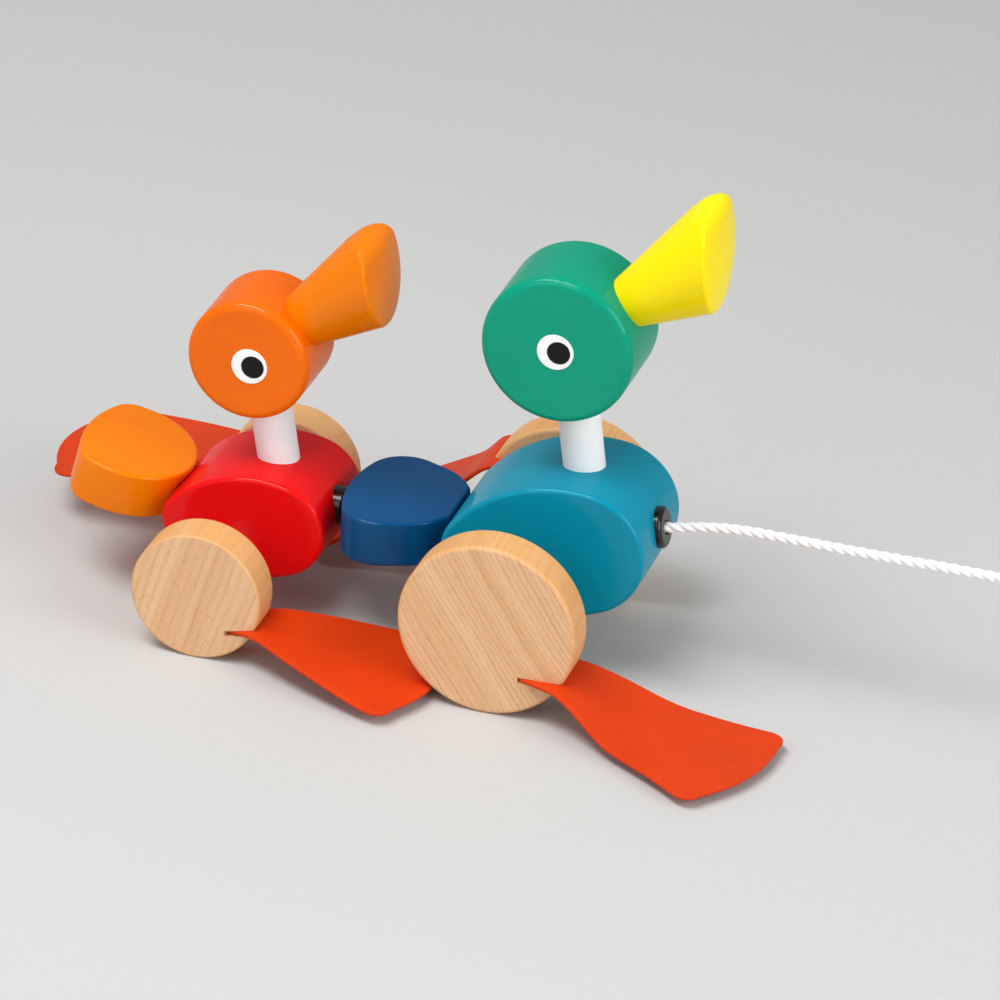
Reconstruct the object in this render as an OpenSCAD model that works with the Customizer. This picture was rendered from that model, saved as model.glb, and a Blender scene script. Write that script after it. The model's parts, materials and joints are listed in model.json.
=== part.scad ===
// Duck pull toy: two wooden ducks in tandem on wheels with soft flippers.
// Millimetres, +X forward, +Y to the ducks' left, +Z up, standing on z = 0.

/* [Wheels] */
// Lead wheel diameter
lead_wheel_d = 50; // [40:1:64]
// Second wheel diameter
second_wheel_d = 37; // [30:1:48]
// Wheel thickness
wheel_t = 11.4; // [8:0.2:14]
// Wheel edge rounding
wheel_edge = 1.2; // [0.6:0.1:2]
// Middle of the toy to the outer face of a wheel
half_track = 43.2; // [40:0.2:50]
// Distance between the two axles
wheelbase = 82.4; // [80:0.2:96]
// Axle diameter
axle_d = 6; // [5:0.5:8]

/* [Lead duck] */
// Body width
lead_body_w = 35.8; // [30:0.2:38]
// Body half length
lead_body_a = 28.8; // [26:0.2:31]
// Chest rounding radius
lead_chest_r = 18.2; // [17:0.2:20]
// Rump rounding radius
lead_rump_r = 10.5; // [9.5:0.1:12]
// Back and belly radius
lead_back_r = 43; // [38:0.5:50]
// Nose-up tilt of the body
lead_body_tilt = 10; // [6:0.5:13]
// Head diameter
lead_head_d = 42.2; // [38:0.2:46]
// Head thickness
lead_head_t = 27.7; // [22:0.1:32]
// Height of the head centre
lead_head_z = 96.1; // [92:0.1:104]
// Backward lean of the neck
lead_neck_lean = 8.6; // [5:0.1:12]
// Tail slab length
lead_tail_l = 34.2; // [33:0.1:34.4]

/* [Second duck] */
// Body width
second_body_w = 33.8; // [28:0.2:35.8]
// Body half length
second_body_a = 23.5; // [21:0.1:25]
// Chest rounding radius
second_chest_r = 14; // [13:0.1:15]
// Rump rounding radius
second_rump_r = 8.3; // [7.5:0.1:9]
// Back and belly radius
second_back_r = 35; // [32:0.5:40]
// Nose-up tilt of the body
second_body_tilt = 4.6; // [2:0.2:8]
// Head diameter
second_head_d = 34.6; // [31:0.2:38]
// Head thickness
second_head_t = 25.2; // [20:0.1:28]
// Height of the head centre
second_head_z = 75.8; // [72:0.1:80]
// Backward lean of the neck
second_neck_lean = 10; // [6:0.1:12]
// Tail slab length
second_tail_l = 32; // [30:0.1:34]

/* [Small pieces] */
// Neck dowel diameter
neck_d = 11.6; // [10:0.1:13]
// White of the eye, diameter
eye_d = 10.2; // [8:0.1:11]
// Pupil diameter
pupil_d = 6.5; // [5:0.1:7.6]
// Tail slab thickness
tail_t = 13.4; // [12:0.1:14]
// Upward tilt of the last tail
second_tail_tilt = 13.4; // [10:0.2:16]
// Flipper sheet thickness
flipper_t = 1.2; // [0.8:0.1:1.4]
// Pull cord diameter
cord_d = 3; // [2.6:0.1:3.2]

/* [Hidden] */
$fn = 64;

// Axle heights and places along the toy
rl = lead_wheel_d / 2;
rs = second_wheel_d / 2;
sx = -wheelbase;

// Body centres, over and a little ahead of their axles
lead_c = [7, rl + 12.45];
second_c = [sx + 3.8, rs + 9.2];

// Head centres, and the centres of the eyes on them
lead_h = [7, lead_head_z];
second_h = [sx + 2.4, second_head_z];
lead_e = lead_h;
second_e = second_h + [0.9, -0.9];

// Glue line and running clearances
glue = 0.04;
run = 0.08;

function dir(a) = [cos(a), sin(a)];
function unit(v) = v / norm(v);
function ease(t) = let (u = min(1, max(0, t))) u * u * (3 - 2 * u);

// Four-arc egg: centres of the chest, rump and back arcs, and the angles where they meet
function egg(a, rf, rr, rb) =
    let (
        xf = a - rf,
        xr = rr - a,
        df = rb - rf,
        dr = rb - rr,
        cx = (df * df - dr * dr + xr * xr - xf * xf) / (2 * (xr - xf)),
        cz = sqrt(df * df - (cx - xf) * (cx - xf))
    )
    [xf, xr, cx, cz, atan2(cz, xf - cx), atan2(cz, xr - cx)];

lead_egg = egg(lead_body_a, lead_chest_r, lead_rump_r, lead_back_r);
second_egg = egg(second_body_a, second_chest_r, second_rump_r, second_back_r);

// Half section of a disc with an eased edge
module edge_profile(r, w, f) {
    polygon([
        [0, -w],
        [r - f, -w],
        [r - 0.5 * f, -w + 0.134 * f],
        [r - 0.134 * f, -w + 0.5 * f],
        [r, -w + f],
        [r, w - f],
        [r - 0.134 * f, w - 0.5 * f],
        [r - 0.5 * f, w - 0.134 * f],
        [r - f, w],
        [0, w]
    ]);
}

// Disc standing on edge, its axis along Y
module disc(r, w, f) {
    rotate([90, 0, 0])
        rotate_extrude($fn = 96)
            edge_profile(r, w, f);
}

// Part of the plane on the outer side of a line from a to b
module beyond(a, b) {
    d = unit(b - a);
    n = [d[1], -d[0]];
    polygon([a, a + 40 * n, b + 40 * n, b]);
}

// Egg outline: a four-cornered core and a round segment on each side of it
module egg_plan(g, rf, rr, rb) {
    tf = [g[0], 0] + rf * dir(g[4]);
    tr = [g[1], 0] + rr * dir(g[5]);
    bf = [tf[0], -tf[1]];
    br = [tr[0], -tr[1]];
    union() {
        polygon([bf, tf, tr, br]);
        intersection() {
            translate([g[0], 0])
                circle(r = rf, $fn = 192);
            beyond(bf, tf);
        }
        intersection() {
            translate([g[2], -g[3]])
                circle(r = rb, $fn = 360);
            beyond(tf, tr);
        }
        intersection() {
            translate([g[1], 0])
                circle(r = rr, $fn = 192);
            beyond(tr, br);
        }
        intersection() {
            translate([g[2], g[3]])
                circle(r = rb, $fn = 360);
            beyond(br, bf);
        }
    }
}

module egg_solid(g, rf, rr, rb, w) {
    rotate([90, 0, 0])
        translate([0, 0, -w])
            linear_extrude(2 * w)
                egg_plan(g, rf, rr, rb);
}

// Moves a shape built about a body centre to its tilted place
module at_body(c, tilt) {
    translate([c[0], 0, c[1]])
        rotate([0, -tilt, 0])
            children();
}

// Rod between two distances along a leaning neck line, measured down from the head centre
module neck_rod(h, lean, d0, d1, r) {
    translate([h[0], 0, h[1]])
        rotate([0, -lean, 0])
            translate([0, 0, -d1])
                cylinder(r = r, h = d1 - d0);
}

lead_neck_in = 8.5;
lead_neck_out = 53.5;
second_neck_in = 6.5;
second_neck_out = 44;

// Tail joints
tail_dowel_d = 8;
tail_dowel_in = 8;
tail_dowel_out = 12;
lead_tail_z = 39 - tail_t / 2;
lead_tail_x = lead_c[0] + lead_egg[1] * cos(lead_body_tilt) - lead_rump_r + 2.2;
lead_tail_end = lead_tail_x - lead_tail_l;
rump_c = [
    second_c[0] + second_egg[1] * cos(second_body_tilt),
    second_c[1] + second_egg[1] * sin(second_body_tilt)
];
second_tail_p = rump_c + [-6.35, 2.05];

// Hitch: a pin in the lead tail and a link fixed in the second chest
hitch_z = 31;
hitch_x = lead_tail_end + 6.8;
pin_d = 4;
link_t = 3.6;
link_w = 7;
spigot_d = 7;
chest_x = second_c[0] + second_egg[0] * cos(second_body_tilt) + second_chest_r;

// Cord exit at the lead chest
bush_r = 4;
bush_bore = 1.8;
chest_bore_l = 13;

// Shapes of the lead and second flippers: length, four values that set the half width along it,
// bow of the end, corner radius
lead_fl = [72.8, 5.3, 18.4, 14.2, 24.2, 3.6, 6.7];
second_fl = [59.7, 4.2, 15.2, 19.3, 24.4, 5.2, 7];

// Slots: inner end from the axle and slot angle, on the right; how far the left wheels are turned on
lead_slot = [9.5, -12.95, 1.5];
second_slot = [8.7, -9.5, 12.5];
lead_left_turn = 183.6;
second_left_turn = 189.4;

// Each flipper's bends: angle at the root, angle after the first bend, angle of the end, turn outward,
// distances where the first and second bends start and stop
bend_lr = [3, -23.8, -0.5, -20.8, 6.8, 16.7, 25, 43.8];
bend_ll = [-3.6, -46.3, -33, -6.5, 7.7, 16.7, 20, 28.3];
bend_sr = [14, -11.4, -0.4, -3, 4.4, 14.4, 40.9, 56];
bend_sl = [-23.4, -11.5, 1.3, -6.8, 4, 13, 40, 64];

fl_n = 30;
fl_m = 6;

// Half width, along a smooth curve through its four values
function fl_half(f, s) =
    let (u = s / f[0], v = 1 - u)
    v * v * v * f[1] + 3 * v * v * u * f[2] + 3 * v * u * u * f[3] + u * u * u * f[4];

// Half width with the two end corners rounded
function fl_width(f, s) =
    let (rc = f[6], over = max(0, s - (f[0] - rc)))
    fl_half(f, s) - rc + sqrt(max(0, rc * rc - over * over));

function fl_pitch(b, s) =
    b[0] + (b[1] - b[0]) * ease((s - b[4]) / (b[5] - b[4]))
    + (b[2] - b[1]) * ease((s - b[6]) / (b[7] - b[6]));

function fl_turn(b, s) = b[3] * ease((s - b[4]) / (b[7] - b[4]));

// Middle line of a flipper from its root, as x forward, y outward, z up, summed in small steps
function fl_line(f, b, n, i = 0, p = [0, 0, 0], out = []) =
    i > n ? out :
    let (
        s = f[0] * (i + 0.5) / n,
        st = f[0] / n,
        a = fl_pitch(b, s),
        t = -fl_turn(b, s),
        q = p + st * [cos(a) * cos(t), cos(a) * sin(t), sin(a)]
    )
    fl_line(f, b, n, i + 1, q, concat(out, [p]));

function fl_grid(f, b) =
    let (line = fl_line(f, b, fl_n))
    [
        for (i = [0:fl_n])
            let (
                s = f[0] * i / fl_n,
                a = fl_pitch(b, s),
                t = -fl_turn(b, s),
                h = fl_width(f, s),
                along = [cos(a) * cos(t), cos(a) * sin(t), sin(a)],
                across = [-sin(t), cos(t), 0],
                up = [-sin(a) * cos(t), -sin(a) * sin(t), cos(a)]
            )
            for (k = [-1, 1])
                for (j = [0:fl_m])
                    let (v = 2 * j / fl_m - 1)
                    line[i] + across * (v * h)
                    - along * (f[5] * v * v * ease(s / f[0]))
                    + up * (k * flipper_t / 2)
    ];

function fl_id(i, k, j) = i * 2 * (fl_m + 1) + k * (fl_m + 1) + j;

// Faces of the sheet, seen from outside in clockwise order
function fl_faces() = concat(
    [
        for (i = [0:fl_n - 1])
            for (j = [0:fl_m - 1])
                each [
                    [fl_id(i, 1, j), fl_id(i, 1, j + 1), fl_id(i + 1, 1, j + 1)],
                    [fl_id(i, 1, j), fl_id(i + 1, 1, j + 1), fl_id(i + 1, 1, j)],
                    [fl_id(i, 0, j), fl_id(i + 1, 0, j + 1), fl_id(i, 0, j + 1)],
                    [fl_id(i, 0, j), fl_id(i + 1, 0, j), fl_id(i + 1, 0, j + 1)]
                ]
    ],
    [
        for (i = [0:fl_n - 1])
            each [
                [fl_id(i, 0, 0), fl_id(i, 1, 0), fl_id(i + 1, 1, 0)],
                [fl_id(i, 0, 0), fl_id(i + 1, 1, 0), fl_id(i + 1, 0, 0)],
                [fl_id(i, 0, fl_m), fl_id(i + 1, 1, fl_m), fl_id(i, 1, fl_m)],
                [fl_id(i, 0, fl_m), fl_id(i + 1, 0, fl_m), fl_id(i + 1, 1, fl_m)]
            ]
    ],
    [
        for (j = [0:fl_m - 1])
            each [
                [fl_id(0, 0, j), fl_id(0, 0, j + 1), fl_id(0, 1, j + 1)],
                [fl_id(0, 0, j), fl_id(0, 1, j + 1), fl_id(0, 1, j)],
                [fl_id(fl_n, 0, j), fl_id(fl_n, 1, j + 1), fl_id(fl_n, 0, j + 1)],
                [fl_id(fl_n, 0, j), fl_id(fl_n, 1, j), fl_id(fl_n, 1, j + 1)]
            ]
    ]
);

// Puts a flipper's grid at its root: fwd +1 or -1 along X, side -1 right or +1 left
function fl_place(grid, root, fwd, side) = [
    for (p = grid) [root[0] + fwd * p[0], root[1] + side * p[1], root[2] + p[2]]
];

mid_y = half_track - wheel_t / 2;
slot_gap = 0.3;
slot_play = 0.2;

function turned(v, a) = [v[0] * cos(a) - v[1] * sin(a), v[0] * sin(a) + v[1] * cos(a)];

function fl_points(f, b, c, slot, turn, fwd, side) =
    let (
        r0 = c + turned([slot[0], slot[1]], turn) + slot_gap * [fwd * cos(b[0]), sin(b[0])],
        root = [r0[0], side * mid_y, r0[1]]
    )
    fl_place(fl_grid(f, b), root, fwd, side);

pts_lr = fl_points(lead_fl, bend_lr, [0, rl], lead_slot, 0, 1, -1);
pts_ll = fl_points(lead_fl, bend_ll, [0, rl], lead_slot, lead_left_turn, -1, 1);
pts_sr = fl_points(second_fl, bend_sr, [sx, rs], second_slot, 0, 1, -1);
pts_sl = fl_points(second_fl, bend_sl, [sx, rs], second_slot, second_left_turn, -1, 1);

// Cord held out straight ahead: hand-chosen points from inside the chest to the hand end
cord_r = cord_d / 2;
chest_tip = [
    lead_c[0] + lead_body_a * cos(lead_body_tilt),
    lead_c[1] + lead_body_a * sin(lead_body_tilt)
];
function from_tip(d) = [chest_tip[0] + d * cos(lead_body_tilt), 0, chest_tip[1] + d * sin(lead_body_tilt)];
knot_r = 3.3;
knot_p = from_tip(-chest_bore_l + knot_r + 0.4);

route = [
    from_tip(-5.6),
    from_tip(-2),
    from_tip(3),
    [46, 0, 44.6],
    [54, 0, 45.7],
    [62, 0, 46.1],
    [70, 0, 46],
    [78, 0, 46],
    [86, 0, 45.9],
    [94, 0, 45.9],
    [102, 0, 45.9],
    [110, 0, 46],
    [118, 0, 46],
    [126, 0, 46],
    [132, 0, 46],
    [137, 0, 46]
];

// Smooth points through the route, two to each stretch between points
function spline(p, i, t) =
    let (
        n = len(p) - 1,
        a = p[max(0, i - 1)],
        b = p[i],
        c = p[min(n, i + 1)],
        d = p[min(n, i + 2)]
    )
    0.5 * (2 * b + (c - a) * t + (2 * a - 5 * b + 4 * c - d) * t * t + (3 * b - a - 3 * c + d) * t * t * t);

cord_line = concat(
    [for (i = [0:len(route) - 2]) for (t = [0, 0.5]) spline(route, i, t)],
    [route[len(route) - 1]]
);

function path_len(p, i = 1) = i >= len(p) ? 0 : norm(p[i] - p[i - 1]) + path_len(p, i + 1);

// Knot at the hand end, against the flat end of the cord
end_knot_r = 3.6;
end_knot_p = route[len(route) - 1] + [end_knot_r + 0.05, 0, 0];

// Round tube along points, its first side set against a fixed direction
module tube(line, r, sides, ref) {
    n = len(line);
    rings = [
        for (i = [0:n - 1])
            let (
                t = unit(line[min(n - 1, i + 1)] - line[max(0, i - 1)]),
                a = unit(cross(ref, t)),
                b = cross(t, a)
            )
            for (k = [0:sides - 1])
                line[i] + r * (a * cos(360 * k / sides) + b * sin(360 * k / sides))
    ];
    faces = concat(
        [
            for (i = [0:n - 2])
                for (k = [0:sides - 1])
                    let (k1 = (k + 1) % sides)
                    each [
                        [i * sides + k, (i + 1) * sides + k1, i * sides + k1],
                        [i * sides + k, (i + 1) * sides + k, (i + 1) * sides + k1]
                    ]
        ],
        [for (k = [1:sides - 2]) [0, k, k + 1]],
        [for (k = [1:sides - 2]) [(n - 1) * sides, (n - 1) * sides + k + 1, (n - 1) * sides + k]]
    );
    polyhedron(points = rings, faces = faces, convexity = 6);
}

// The toy's box without the cord, whose bottom centre is the origin
all_pts = concat(pts_lr, pts_ll, pts_sr, pts_sl);
tail_far = second_tail_p[0] - second_tail_l * cos(second_tail_tilt) - tail_t / 2 * sin(second_tail_tilt);
x_lo = min(tail_far, min([for (p = all_pts) p[0]]));
x_hi = max([for (p = all_pts) p[0]]);
y_lo = min([for (p = all_pts) p[1]]);
y_hi = max([for (p = all_pts) p[1]]);
shift = [-(x_lo + x_hi) / 2, -(y_lo + y_hi) / 2, 0];

module placed() {
    translate(shift)
        children();
}

// The arcs of a tail's outline run this many degrees past their flanks, and its corners stand this much wide
tail_blend = 1;
tail_join = 0.02;

// Tail outlines, made of tangent arcs: length, radii of the front, the corners and the back,
// half distance between the corner centres, how much of the front tip is cut off flat
lead_tl = [lead_tail_l, 19.6, 10.7, 41.2, 10.4, 2.28];
second_tl = [second_tail_l, 18.9, 7.8, 35.5, 11, 0];

// Tail outline from its front tip at the origin back along +X
module tail_plan(tl) {
    l = tl[0];
    fr = tl[1];
    cr = tl[2];
    br = tl[3];
    cy = tl[4];
    cx = l - br + sqrt(pow(br - cr, 2) - cy * cy);
    n = atan2(cy, cx - fr) + acos((fr - cr) / norm([cx - fr, cy]));
    t1 = [fr, 0] + fr * dir(n - tail_blend);
    t2 = [cx, cy] + cr * dir(n + tail_blend);
    back_y = br * sin(atan2(cy, cx - (l - br)));
    union() {
        polygon([
            [t1[0], -t1[1]],
            [t2[0], -t2[1]],
            [cx, -cy],
            [cx, cy],
            t2,
            t1
        ]);
        intersection() {
            translate([fr, 0])
                circle(r = fr, $fn = 128);
            translate([tl[5], -30])
                square([t1[0] + 1 - tl[5], 60]);
        }
        translate([cx, cy])
            circle(r = cr + tail_join, $fn = 128);
        translate([cx, -cy])
            circle(r = cr + tail_join, $fn = 128);
        intersection() {
            translate([l - br, 0])
                circle(r = br, $fn = 256);
            translate([fr, -back_y])
                square([l, 2 * back_y]);
        }
    }
}

module tail_slab(tl) {
    translate([0, 0, -tail_t / 2])
        linear_extrude(tail_t)
            tail_plan(tl);
}

module at_lead_tail() {
    translate([lead_tail_x, 0, lead_tail_z])
        rotate([0, 0, 180])
            children();
}

module at_second_tail() {
    translate([second_tail_p[0], 0, second_tail_p[1]])
        rotate([0, second_tail_tilt, 0])
            rotate([0, 0, 180])
                children();
}

module tail_dowel_rod(r, l0, l1) {
    translate([l0, 0, 0])
        rotate([0, 90, 0])
            cylinder(r = r, h = l1 - l0);
}

// Body solids
module lead_egg_solid() {
    at_body(lead_c, lead_body_tilt)
        egg_solid(lead_egg, lead_chest_r, lead_rump_r, lead_back_r, lead_body_w / 2);
}

module second_egg_solid() {
    at_body(second_c, second_body_tilt)
        egg_solid(second_egg, second_chest_r, second_rump_r, second_back_r, second_body_w / 2);
}

// Cylinder on the arc of a body's chest or rump
module body_round(c, tilt, x, r) {
    at_body(c, tilt)
        translate([x, 30, 0])
            rotate([90, 0, 0])
                cylinder(r = r, h = 60, $fn = 96);
}

module cross_rod(x, z, r, w) {
    translate([x, w / 2, z])
        rotate([90, 0, 0])
            cylinder(r = r, h = w);
}

module lead_body() {
    color([0.0, 0.55, 0.64])
        placed()
            difference() {
                lead_egg_solid();
                cross_rod(0, rl, axle_d / 2 + run, lead_body_w + 4);
                neck_rod(lead_h, lead_neck_lean, 20, lead_neck_out + 0.4, neck_d / 2 + glue);
                at_lead_tail()
                    tail_dowel_rod(tail_dowel_d / 2 + glue, -tail_dowel_in - 0.4, 4);
                at_body(lead_c, lead_body_tilt)
                    translate([lead_body_a - chest_bore_l, 0, 0])
                        rotate([0, 90, 0])
                            cylinder(r = bush_r + glue, h = chest_bore_l + 4);
            }
}

module second_body() {
    color([0.84, 0.07, 0.08])
        placed()
            difference() {
                second_egg_solid();
                cross_rod(sx, rs, axle_d / 2 + run, second_body_w + 4);
                neck_rod(second_h, second_neck_lean, 17, second_neck_out + 0.4, neck_d / 2 + glue);
                at_second_tail()
                    tail_dowel_rod(tail_dowel_d / 2 + glue, -tail_dowel_in - 0.4, 4);
                translate([chest_x - 10.4, 0, hitch_z])
                    rotate([0, 90, 0])
                        cylinder(r = spigot_d / 2 + glue, h = 16);
            }
}

module lead_neck() {
    color([0.93, 0.93, 0.94])
        placed()
            neck_rod(lead_h, lead_neck_lean, lead_neck_in, lead_neck_out, neck_d / 2);
}

module second_neck() {
    color([0.93, 0.93, 0.94])
        placed()
            neck_rod(second_h, second_neck_lean, second_neck_in, second_neck_out, neck_d / 2);
}

// Beak: angle, radius at the head's rim, flare angle, distance of the end's mark, tenon radius and length,
// rounding of the upper tip, how far the end stands out from its mark, lean of the end
lead_bk = [36.4, 7.6, 14.8, 48, 4.5, 9, 5.2, 3.2, 2.6];
second_bk = [38.7, 8.3, 12.3, 36.5, 4.5, 8, 6, 7.7, 6.9];
beak_end_r = 60;
eye_depth = 1.4;
pupil_depth = 0.8;
proud = 0.25;

module head_solid(h, e, r, w, lean, n_in, bk) {
    difference() {
        translate([h[0], 0, h[1]])
            disc(r, w, 2.3);
        neck_rod(h, lean, n_in - 0.4, r + 6, neck_d / 2 + glue);
        translate([h[0], 0, h[1]])
            rotate([0, 90 - bk[0], 0])
                translate([0, 0, r - bk[5] - 0.4])
                    cylinder(r = bk[4] + glue, h = bk[5] + 6);
        for (s = [-1, 1])
            translate([e[0], s * w, e[1]])
                rotate([90, 0, 0])
                    cylinder(r = eye_d / 2 + glue, h = 2 * eye_depth, center = true);
    }
}

// Flared round beak with a bulging end; its upper tip is rounded across
module beak_solid(h, r, bk) {
    flare = tan(bk[2]);
    long = bk[3] + 26;
    end_c = bk[3] * dir(bk[0]) + (bk[7] - beak_end_r) * dir(bk[8]);
    line_d = dir(bk[0] + bk[2]);
    line_n = dir(bk[0] + bk[2] + 90);
    from = r * dir(bk[0]) + bk[1] * dir(bk[0] + 90) - bk[6] * line_n;
    q = from - end_c;
    tip = from + line_d * (sqrt(pow(q * line_d, 2) - q * q + pow(beak_end_r - bk[6], 2)) - q * line_d);
    end_n = unit(tip - end_c);
    translate([h[0], 0, h[1]])
        union() {
            difference() {
                intersection() {
                    rotate([0, 90 - bk[0], 0])
                        translate([0, 0, r - 6])
                            cylinder(
                                r1 = bk[1] - 6 * flare,
                                r2 = bk[1] + (long - r) * flare,
                                h = long - r + 6
                            );
                    translate([end_c[0], 0, end_c[1]])
                        sphere(r = beak_end_r, $fn = 96);
                }
                rotate([90, 0, 0])
                    linear_extrude(80, center = true)
                        difference() {
                            polygon([
                                tip,
                                tip + 40 * end_n,
                                tip + 60 * unit(end_n + line_n),
                                tip + 40 * line_n
                            ]);
                            translate(tip)
                                circle(r = bk[6], $fn = 96);
                        }
                rotate([90, 0, 0])
                    cylinder(r = r + 0.06, h = 80, center = true, $fn = 96);
            }
            rotate([0, 90 - bk[0], 0])
                translate([0, 0, r - bk[5]])
                    cylinder(r = bk[4], h = bk[5] + 3);
        }
}

module eye_disc(e, w, s) {
    translate([e[0], s * (w + proud), e[1]])
        rotate([90 * s, 0, 0])
            difference() {
                cylinder(r = eye_d / 2, h = eye_depth + proud - 0.05);
                translate([1, 0, -1])
                    cylinder(r = pupil_d / 2 + glue, h = pupil_depth + 1);
            }
}

module pupil_disc(e, w, s) {
    translate([e[0] + 1, s * (w + proud + 0.1), e[1]])
        rotate([90 * s, 0, 0])
            cylinder(r = pupil_d / 2, h = pupil_depth + 0.05);
}

module lead_head() {
    color([0.0, 0.58, 0.46])
        placed()
            head_solid(
                lead_h, lead_e, lead_head_d / 2, lead_head_t / 2,
                lead_neck_lean, lead_neck_in, lead_bk
            );
}

module second_head() {
    color([0.92, 0.45, 0.02])
        placed()
            head_solid(
                second_h, second_e, second_head_d / 2, second_head_t / 2,
                second_neck_lean, second_neck_in, second_bk
            );
}

module lead_beak() {
    color([0.98, 0.9, 0.02])
        placed()
            beak_solid(lead_h, lead_head_d / 2, lead_bk);
}

module second_beak() {
    color([0.96, 0.62, 0.05])
        placed()
            beak_solid(second_h, second_head_d / 2, second_bk);
}

module lead_eye_right() {
    color([0.96, 0.96, 0.96])
        placed()
            eye_disc(lead_e, lead_head_t / 2, -1);
}

module lead_eye_left() {
    color([0.96, 0.96, 0.96])
        placed()
            eye_disc(lead_e, lead_head_t / 2, 1);
}

module lead_pupil_right() {
    color([0.06, 0.06, 0.06])
        placed()
            pupil_disc(lead_e, lead_head_t / 2, -1);
}

module lead_pupil_left() {
    color([0.06, 0.06, 0.06])
        placed()
            pupil_disc(lead_e, lead_head_t / 2, 1);
}

module second_eye_right() {
    color([0.96, 0.96, 0.96])
        placed()
            eye_disc(second_e, second_head_t / 2, -1);
}

module second_eye_left() {
    color([0.96, 0.96, 0.96])
        placed()
            eye_disc(second_e, second_head_t / 2, 1);
}

module second_pupil_right() {
    color([0.06, 0.06, 0.06])
        placed()
            pupil_disc(second_e, second_head_t / 2, -1);
}

module second_pupil_left() {
    color([0.06, 0.06, 0.06])
        placed()
            pupil_disc(second_e, second_head_t / 2, 1);
}

// Lead tail with the hitch mortise in its back end and a blind pin hole from below
module lead_tail() {
    color([0.0, 0.32, 0.53])
        placed()
            difference() {
                at_lead_tail()
                    tail_slab(lead_tl);
                at_lead_tail()
                    tail_dowel_rod(tail_dowel_d / 2 + glue, -4, tail_dowel_out + 0.4);
                translate([lead_tail_end - 5, -6.75, hitch_z - link_t / 2 - 0.4])
                    cube([hitch_x + 5.6 - lead_tail_end + 5, 13.5, link_t + 0.8]);
                translate([hitch_x, 0, lead_tail_z - tail_t / 2 - 2])
                    cylinder(r = pin_d / 2 + 0.02, h = tail_t);
            }
}

module hitch_pin() {
    color([0.72, 0.73, 0.75])
        placed()
            translate([hitch_x, 0, lead_tail_z - tail_t / 2 + 0.3])
                cylinder(r = pin_d / 2, h = tail_t - 2.5);
}

module lead_tail_dowel() {
    color([0.86, 0.7, 0.5])
        placed()
            at_lead_tail()
                tail_dowel_rod(tail_dowel_d / 2, -tail_dowel_in, tail_dowel_out);
}

module second_tail() {
    color([0.95, 0.58, 0.08])
        placed()
            difference() {
                at_second_tail()
                    tail_slab(second_tl);
                body_round(second_c, second_body_tilt, second_egg[1], second_rump_r + 0.06);
                at_second_tail()
                    tail_dowel_rod(tail_dowel_d / 2 + glue, -4, tail_dowel_out + 0.4);
            }
}

module second_tail_dowel() {
    color([0.86, 0.7, 0.5])
        placed()
            at_second_tail()
                tail_dowel_rod(tail_dowel_d / 2, -tail_dowel_in, tail_dowel_out);
}

// Black link: spigot in the second chest, round flange against it, tongue and eye on the pin
module hitch_link() {
    flange_x = chest_x + 0.9;
    color([0.05, 0.05, 0.05])
        placed()
            difference() {
                union() {
                    translate([chest_x - 10, 0, hitch_z])
                        rotate([0, 90, 0])
                            cylinder(r = spigot_d / 2, h = flange_x - chest_x + 10);
                    difference() {
                        translate([flange_x - 4.6, 0, hitch_z])
                            rotate([0, 90, 0])
                                cylinder(r = 5.6, h = 4.6);
                        body_round(second_c, second_body_tilt, second_egg[0], second_chest_r + 0.06);
                    }
                    translate([flange_x - 1, -link_w / 2, hitch_z - link_t / 2])
                        cube([hitch_x - flange_x + 1, link_w, link_t]);
                    translate([hitch_x, 0, hitch_z - link_t / 2])
                        cylinder(r = 5, h = link_t);
                }
                translate([hitch_x, 0, hitch_z - 10])
                    cylinder(r = pin_d / 2 + run, h = 20);
            }
}

module chest_grommet() {
    color([0.05, 0.05, 0.05])
        placed()
            at_body(lead_c, lead_body_tilt)
                difference() {
                    union() {
                        translate([lead_body_a - 5.4, 0, 0])
                            rotate([0, 90, 0])
                                cylinder(r = bush_r, h = 6);
                        difference() {
                            translate([lead_body_a - 1.4, 0, 0])
                                rotate([0, 90, 0])
                                    cylinder(r = 5.8, h = 3);
                            translate([lead_egg[0], 30, 0])
                                rotate([90, 0, 0])
                                    cylinder(r = lead_chest_r + 0.06, h = 60, $fn = 96);
                        }
                    }
                    translate([lead_body_a - 10, 0, 0])
                        rotate([0, 90, 0])
                            cylinder(r = bush_bore, h = 20);
                }
}

// Wheels, axles and the sleeves that hold the wheels off the body
module wheel(x, r, side, slot, turn) {
    slot_h = flipper_t + 2 * slot_play;
    difference() {
        translate([x, side * mid_y, r])
            disc(r, wheel_t / 2, wheel_edge);
        translate([x, side * (half_track - wheel_t - 1), r])
            rotate([90 * -side, 0, 0])
                cylinder(r = axle_d / 2 + 0.02, h = 9.4);
        translate([x, side * mid_y, r])
            rotate([0, -turn, 0])
                translate([slot[0], 0, slot[1]])
                    rotate([0, -slot[2], 0])
                        translate([0, -20, -slot_h / 2])
                            cube([60, 40, slot_h]);
    }
}

module lead_wheel_right() {
    color([0.87, 0.71, 0.51])
        placed()
            wheel(0, rl, -1, lead_slot, 0);
}

module lead_wheel_left() {
    color([0.87, 0.71, 0.51])
        placed()
            wheel(0, rl, 1, lead_slot, lead_left_turn);
}

module second_wheel_right() {
    color([0.87, 0.71, 0.51])
        placed()
            wheel(sx, rs, -1, second_slot, 0);
}

module second_wheel_left() {
    color([0.87, 0.71, 0.51])
        placed()
            wheel(sx, rs, 1, second_slot, second_left_turn);
}

module lead_axle() {
    color([0.75, 0.76, 0.78])
        placed()
            cross_rod(0, rl, axle_d / 2, 2 * (half_track - wheel_t + 8));
}

module second_axle() {
    color([0.75, 0.76, 0.78])
        placed()
            cross_rod(sx, rs, axle_d / 2, 2 * (half_track - wheel_t + 8));
}

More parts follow.
